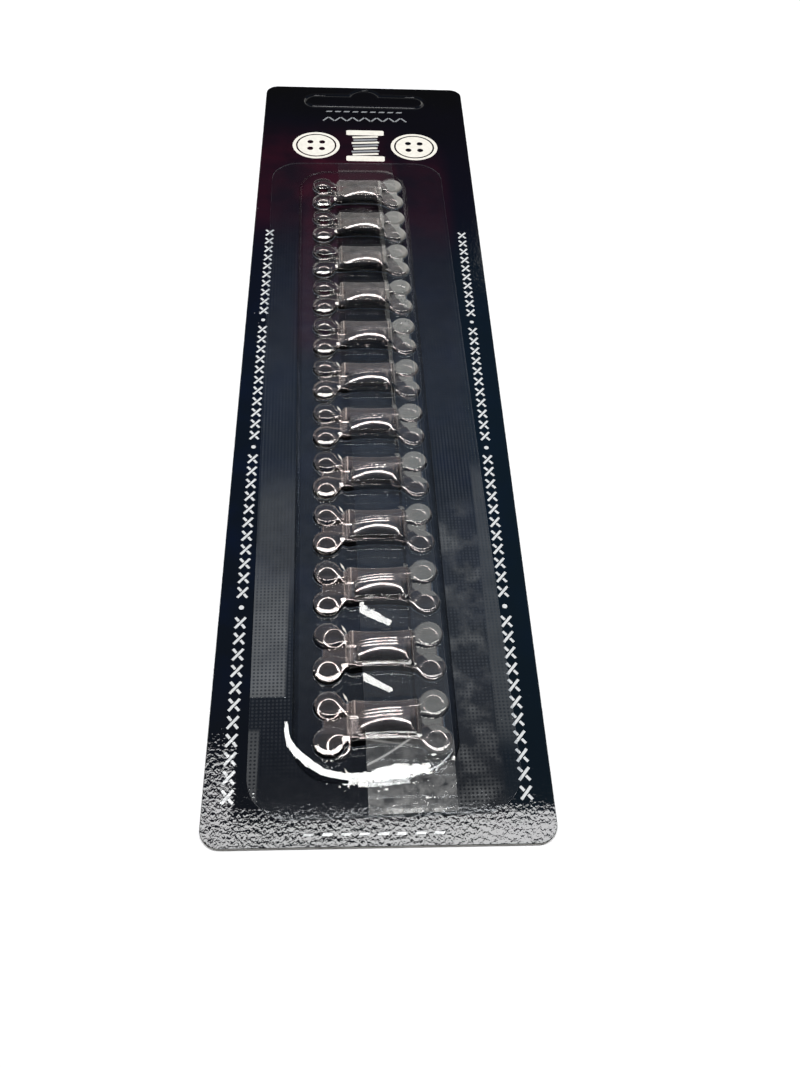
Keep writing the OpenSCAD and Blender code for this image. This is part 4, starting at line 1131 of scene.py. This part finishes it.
def build_strip():
    step = 0.25
    a = np.linspace(-STRIP_W / 2, STRIP_W / 2, int(STRIP_W / step) + 1)
    b = np.linspace(-STRIP_L / 2, STRIP_L / 2, int(STRIP_L / step) + 1)
    ga, gb, z = strip_heights(a, b)
    da, db = a[1] - a[0], b[1] - b[0]
    gz_a = np.gradient(z, da, axis=1)
    gz_b = np.gradient(z, db, axis=0)
    normals = np.stack([-gz_a, -gz_b, np.ones_like(z)], -1)
    normals /= np.linalg.norm(normals, axis=-1)[..., None]
    normals = normals.reshape(-1, 3)
    xy = strip_to_card(np.stack([ga.ravel(), gb.ravel()], -1))
    co = np.column_stack([xy, CARD_T + z.ravel() + STRIP_T])
    normals[:, :2] = turned(normals[:, :2], STRIP_SKEW)
    quads = grid_faces(len(b), len(a))
    tri = np.vstack([quads[:, [0, 1, 2]], quads[:, [0, 2, 3]]])
    ob = joined((co, tri, normals), (co - normals * STRIP_T, tri, normals), [M_STRIP, M_CUT, M_BACK], "clear_strip")
    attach(ob, "root")
    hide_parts("film_strip")
    return ob


# ---------------------------------------------------------------------------- clasps
def side_path():
    """Middle line of the hook's metal seen from the side: shank, fold, arched tongue."""
    pts = [(u, Z_LOW) for u in np.linspace(-5.1, FOLD_U - 0.3, 22)]
    pts += [(FOLD_U + FOLD_R * math.cos(math.radians(a)), BAR_Z + FOLD_R * math.sin(math.radians(a)))
            for a in range(-90, 84, 9)]
    end = -math.asin((PEAK_U - TIP_U) / ARCH_R)
    for j in range(29):
        a = ARCH_END + (end - ARCH_END) * j / 28
        pts.append((PEAK_U + ARCH_R * math.sin(a), Z_PEAK - ARCH_R + ARCH_R * math.cos(a)))
    return np.array(pts)


def crown(v):
    """How far the tongue's face lies below its crest, across its width."""
    d = np.maximum(0.45 - v, 0)
    z = np.zeros_like(d)
    a = 0.0
    for radius, turn, run in ((1.75, 25, 0.16), (0.8, 60, 9.0)):  # a bend, then a straight run
        b = math.radians(turn)
        w = radius * (math.sin(b) - math.sin(a))
        inside = np.clip(d, 0, w)
        z += np.sqrt(radius ** 2 - (radius * math.sin(a)) ** 2) - np.sqrt(np.maximum(radius ** 2 - (radius * math.sin(a) + inside) ** 2, 0))
        d = np.maximum(d - w, 0)
        z += np.minimum(d, run) * math.tan(b)
        d = np.maximum(d - run, 0)
        a = b
    return z + 0.035 * np.maximum(v - 0.5, 0) ** 2


def hook_strip():
    """The hook's flat metal, one closed sweep."""
    p = side_path()
    t = np.gradient(p, axis=0)
    t /= np.linalg.norm(t, axis=1)[:, None]
    nrm = np.stack([t[:, 1], -t[:, 0]], -1)  # outwards: under the shank, over the tongue
    s = np.concatenate([[0], np.cumsum(np.linalg.norm(np.diff(p, axis=0), axis=1))])
    total = s[-1]
    across = np.linspace(-1, 1, 41)
    rings = []
    for i in range(len(p)):
        left = total - s[i]
        on_tongue = 1 - np.clip((left - 7.2) / 1.1, 0, 1)  # 0 on the shank and in the fold
        on_tongue = on_tongue * on_tongue * (3 - 2 * on_tongue)
        low = min(max((p[i, 1] - 1.5) / (Z_PEAK - 1.5), 0.0), 1.0)  # the tongue's height over the shank
        near_v = -HOOK_W / 2 + on_tongue * (0.78 + 0.25 * (1 - low))
        far_v = HOOK_W / 2 + 0.06 * on_tongue
        if left < 0.9:
            cut = 1 - (max(1 - (1 - left / 0.9) ** 2.2, 0.0) ** 0.5 * 0.55 + 0.45)
            near_v, far_v = near_v + cut * 1.2, far_v - cut * 1.6
        v = near_v + (across + 1) / 2 * (far_v - near_v)
        round_off = 1 - np.clip((np.abs(across) - 0.9) / 0.1, 0, 1) ** 2 * 0.75
        th = HOOK_T / 2 * (1 - 0.25 * on_tongue) * round_off
        bow = (p[i, 0] - 0.7) / (4.1 if p[i, 0] < 0.7 else 3.3)
        sink = crown(v + 0.8 * min(bow * bow, 1.3)) * on_tongue
        outer = p[i][None] + nrm[i][None] * (th - sink)[:, None]
        inner = p[i][None] - nrm[i][None] * (th + sink)[:, None]
        ring = np.vstack([np.column_stack([outer[:, 0], v, outer[:, 1]]),
                          np.column_stack([inner[::-1, 0], v[::-1], inner[::-1, 1]])])
        rings.append(ring)
    m = len(rings[0])
    co = np.concatenate(rings)
    faces = [list(f) for f in grid_faces(len(rings), m, close=True)]
    faces.append(list(range(m))[::-1])
    last = (len(rings) - 1) * m
    faces.append(list(range(last, last + m)))
    return co, faces


def ring_wire(side, bent):
    """One sewing ring of the hook with its arm, as a path of the wire."""
    z = Z0 + WIRE / 2
    c = np.array([-HALF_L + bent, side * HOOK_SP / 2])
    p = np.array([-4.9, side * 1.75])
    d = np.linalg.norm(p - c)
    b = math.atan2(p[1] - c[1], p[0] - c[0])
    t0 = b + side * math.acos(RING_R / d)
    pts = [(-3.6, side * 1.7), (-4.4, side * 1.72), (-5.0, side * 1.8 + side * 0.02)]
    touch = c + RING_R * np.array([math.cos(t0), math.sin(t0)])
    pts.append(tuple((np.array(pts[-1]) + touch) / 2))
    for j in range(23):
        a = t0 + side * math.radians(322) * j / 22
        pts.append((c[0] + RING_R * math.cos(a), c[1] + RING_R * math.sin(a)))
    tilt = math.tan(math.radians(8 if side < 0 else 4))
    lift = [max(0.0, min(-3.9 - q[0], 1.0)) * (0.12 + tilt * (q[1] - c[1])) for q in pts]
    path = spline([(q[0], q[1], z + max(l, -0.02)) for q, l in zip(pts, lift)], 0.22)
    return path


def remeshed(co, faces, voxel, keep, detail=None):
    """One smooth closed skin round some overlapping solids."""
    ob = make_mesh("skin", co, faces, [])
    me = through(ob, ("REMESH", {"mode": "VOXEL", "voxel_size": voxel * 0.001, "use_smooth_shade": True}),
                 ("SMOOTH", {"factor": 0.5, "iterations": 3}))
    if detail is not None:
        n = len(me.vertices)
        p, nn = np.empty(n * 3), np.empty(n * 3)
        me.vertices.foreach_get("co", p)
        me.vertices.foreach_get("normal", nn)
        p = p.reshape(-1, 3) * 1000
        p = p + nn.reshape(-1, 3) * detail(p, nn.reshape(-1, 3))[:, None]
        me.vertices.foreach_set("co", (p * 0.001).ravel())
        me.update()
    ob = bpy.data.objects.new("skin", me)
    scene.collection.objects.link(ob)
    out = through(ob, ("TRIANGULATE", {}), ("DECIMATE", {"ratio": keep, "use_collapse_triangulate": True}))
    bpy.data.meshes.remove(me)
    co, tri = arrays_of(out)
    bpy.data.meshes.remove(out)
    return co, tri


def tongue_ribs(p, nrm):
    """Raised lines along the tongue's upper face."""
    u, v, z = p[:, 0], p[:, 1], p[:, 2]
    on = np.clip((nrm[:, 2] - 0.5) / 0.3, 0, 1) * np.clip((z - 1.75) / 0.2, 0, 1)
    on *= np.clip((3.4 - u) / 0.8, 0, 1)
    h = np.zeros(len(p))
    for c, amp in ((2.05, 0.075), (1.5, 0.085), (0.98, 0.07)):
        h += amp * np.exp(-((v - c) / 0.15) ** 2)
    return h * on


def hook_shape(bent_up, bent_low):
    parts = [hook_strip()]
    for side, bent in ((1, bent_up), (-1, bent_low)):
        parts.append(tube(ring_wire(side, bent), WIRE / 2 + 0.04))
    co, faces = merged(parts)
    voxel = 0.075
    return remeshed(co, faces, voxel, 0.3, tongue_ribs)


def eye_path():
    """The eye's wire from one ring's end along arm, cross bar and arm to the other's."""
    c = np.array([HALF_L + 0.1 - BAR_U, BAR_SP / 2])
    pts = []
    half = []
    for j in range(25):  # round the ring, ending beside the arm
        a = math.radians(150 - 318 * (24 - j) / 24)
        half.append((c[0] + RING_R * math.cos(a), c[1] + RING_R * math.sin(a)))
    half += [(2.35, 3.05), (1.6, 2.74), (0.8, 2.68), (0.28, 2.55), (0.04, 2.2)]
    cross = [(0.0, v) for v in (1.4, 0.7, 0.0)]
    pts = half + cross
    other = [(q[0], -q[1]) for q in (half + cross[:-1])[::-1]]
    return spline([(q[0], q[1], 0.0) for q in pts + other], 0.2)


def build_clasps():
    shapes = {}
    eye_co, eye_faces = tube(eye_path(), WIRE / 2 + 0.03, 16)
    c, s = math.cos(DROP), math.sin(DROP)
    x, z = eye_co[:, 0] * c + eye_co[:, 2] * s, -eye_co[:, 0] * s + eye_co[:, 2] * c
    eye_co = np.column_stack([x + BAR_U, eye_co[:, 1], z + BAR_Z])
    for k in range(UNITS):
        key = LIES[k][3:]
        if key not in shapes:
            shapes[key] = hook_shape(*key)
        co, tri = shapes[key]
        hook = make_mesh(f"hook_{k + 1:02d}_metal", pocket_to_card(co, k), tri, [M_HOOK])
        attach(hook, "root")
        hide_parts(f"hook_{k + 1:02d}")
        eye = make_mesh(f"bar_{k + 1:02d}_wire", pocket_to_card(eye_co, k), eye_faces, [M_EYE])
        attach(eye, "root")
        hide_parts(f"bar_{k + 1:02d}")


build_card()
build_blister()
build_strip()
build_clasps()

# ---------------------------------------------------------------------------- stage
floor = make_mesh("floor", [(-2500, -2500, -0.02), (2500, -2500, -0.02), (2500, 2500, -0.02), (-2500, 2500, -0.02)],
                  [[0, 1, 2, 3]], [floor_material()], smooth=False)


def area_light(name, at, aim, size, size_y, power, colour=(1, 1, 1)):
    data = bpy.data.lights.new(name, "AREA")
    data.shape, data.size, data.size_y = "RECTANGLE", size, size_y
    data.energy, data.color = power, colour
    ob = bpy.data.objects.new(name, data)
    scene.collection.objects.link(ob)
    ob.location = at
    ob.rotation_euler = (Vector(aim) - Vector(at)).to_track_quat("-Z", "Y").to_euler()
    return ob


# a wide soft box overhead, and two panels that give the film its sheen
area_light("overhead", (0.0, 0.091, 0.9), (0.0, 0.091, 0.0), 1.1, 0.282, 13.5)
area_light("right_panel", (0.324, 0.762, 0.352), (0.0, 0.0, 0.0), 0.32, 0.43, 0.42, (1.0, 0.99, 0.94))
area_light("left_panel", (-0.5, 0.5, 0.376), (0.0, 0.0, 0.0), 0.12, 0.30, 0.22, (0.94, 0.97, 1.0))

world = bpy.data.worlds.new("studio")
scene.world = world
world.use_nodes = True
nt = world.node_tree
nt.nodes.clear()


def wnode(kind, **settings):
    n = nt.nodes.new("ShaderNode" + kind)
    for key, value in settings.items():
        setattr(n, key, value)
    return n


def wramp(fac, stops):
    n = wnode("ValToRGB")
    nt.links.new(fac, n.inputs[0])
    els = n.color_ramp.elements
    els[0].position, els[0].color = stops[0][0], (*stops[0][1], 1)
    els[1].position, els[1].color = stops[-1][0], (*stops[-1][1], 1)
    for pos, col in stops[1:-1]:
        e = els.new(pos)
        e.color = (*col, 1)
    return n.outputs[0]


out = wnode("OutputWorld")
sep = wnode("SeparateXYZ")
nt.links.new(wnode("TexCoord").outputs["Generated"], sep.inputs[0])
far = wramp(sep.outputs[2], [(0.0, (0.42, 0.42, 0.41)), (0.28, (0.4, 0.4, 0.39)), (0.38, (0.05, 0.05, 0.055)), (0.48, (0.02, 0.02, 0.025)),
                             (0.56, (0.035, 0.038, 0.052)),
                             (0.70, (0.06, 0.095, 0.16)), (0.84, (0.06, 0.09, 0.14)), (0.92, (0.045, 0.055, 0.075)), (1.0, (0.05, 0.06, 0.08))])
near = wramp(sep.outputs[2], [(0.0, (0.16, 0.16, 0.16)), (0.3, (0.03, 0.03, 0.035)), (0.85, (0.02, 0.022, 0.024)), (1.0, (0.04, 0.05, 0.07))])
side = wnode("MapRange", interpolation_type="SMOOTHSTEP")
side.inputs["From Min"].default_value, side.inputs["From Max"].default_value = -0.25, 0.15
nt.links.new(sep.outputs[1], side.inputs["Value"])
sky = wnode("Mix", data_type="RGBA")
nt.links.new(side.outputs[0], sky.inputs[0])
nt.links.new(near, sky.inputs[6])
nt.links.new(far, sky.inputs[7])
# dimmer towards the left and right
wide = wnode("MapRange", interpolation_type="SMOOTHSTEP")
for key, value in (("From Min", 0.42), ("From Max", 0.68), ("To Min", 1.0), ("To Max", 0.22)):
    wide.inputs[key].default_value = value
bend = wnode("Math", operation="ABSOLUTE")
nt.links.new(sep.outputs[0], bend.inputs[0])
nt.links.new(bend.outputs[0], wide.inputs["Value"])
lit = wnode("Background")
nt.links.new(sky.outputs[2], lit.inputs[0])
nt.links.new(wide.outputs[0], lit.inputs[1])
seen = wnode("Background")
seen.inputs[0].default_value = (0.93, 0.93, 0.93, 1)
ray = wnode("LightPath")
mix = wnode("MixShader")
nt.links.new(ray.outputs["Is Camera Ray"], mix.inputs[0])
nt.links.new(lit.outputs[0], mix.inputs[1])
nt.links.new(seen.outputs[0], mix.inputs[2])
nt.links.new(mix.outputs[0], out.inputs[0])

camera_data = bpy.data.cameras.new("camera")
camera = bpy.data.objects.new("camera", camera_data)
scene.collection.objects.link(camera)
camera_data.sensor_fit = "HORIZONTAL"
camera_data.sensor_width = 36.0
camera_data.lens = 36.0 * 993.78 / 800.0
camera_data.clip_start, camera_data.clip_end = 0.005, 20.0
camera.matrix_world = Matrix((
    (0.998578, 0.001119, -0.053298, -0.004557),
    (-0.033267, 0.794311, -0.606599, -0.148890),
    (0.041657, 0.607510, 0.793219, 0.135409),
    (0.0, 0.0, 0.0, 1.0)))
scene.camera = camera
scene.view_settings.view_transform = "Standard"
scene.cycles.transparent_max_bounces = 32  # light passes several films one over another
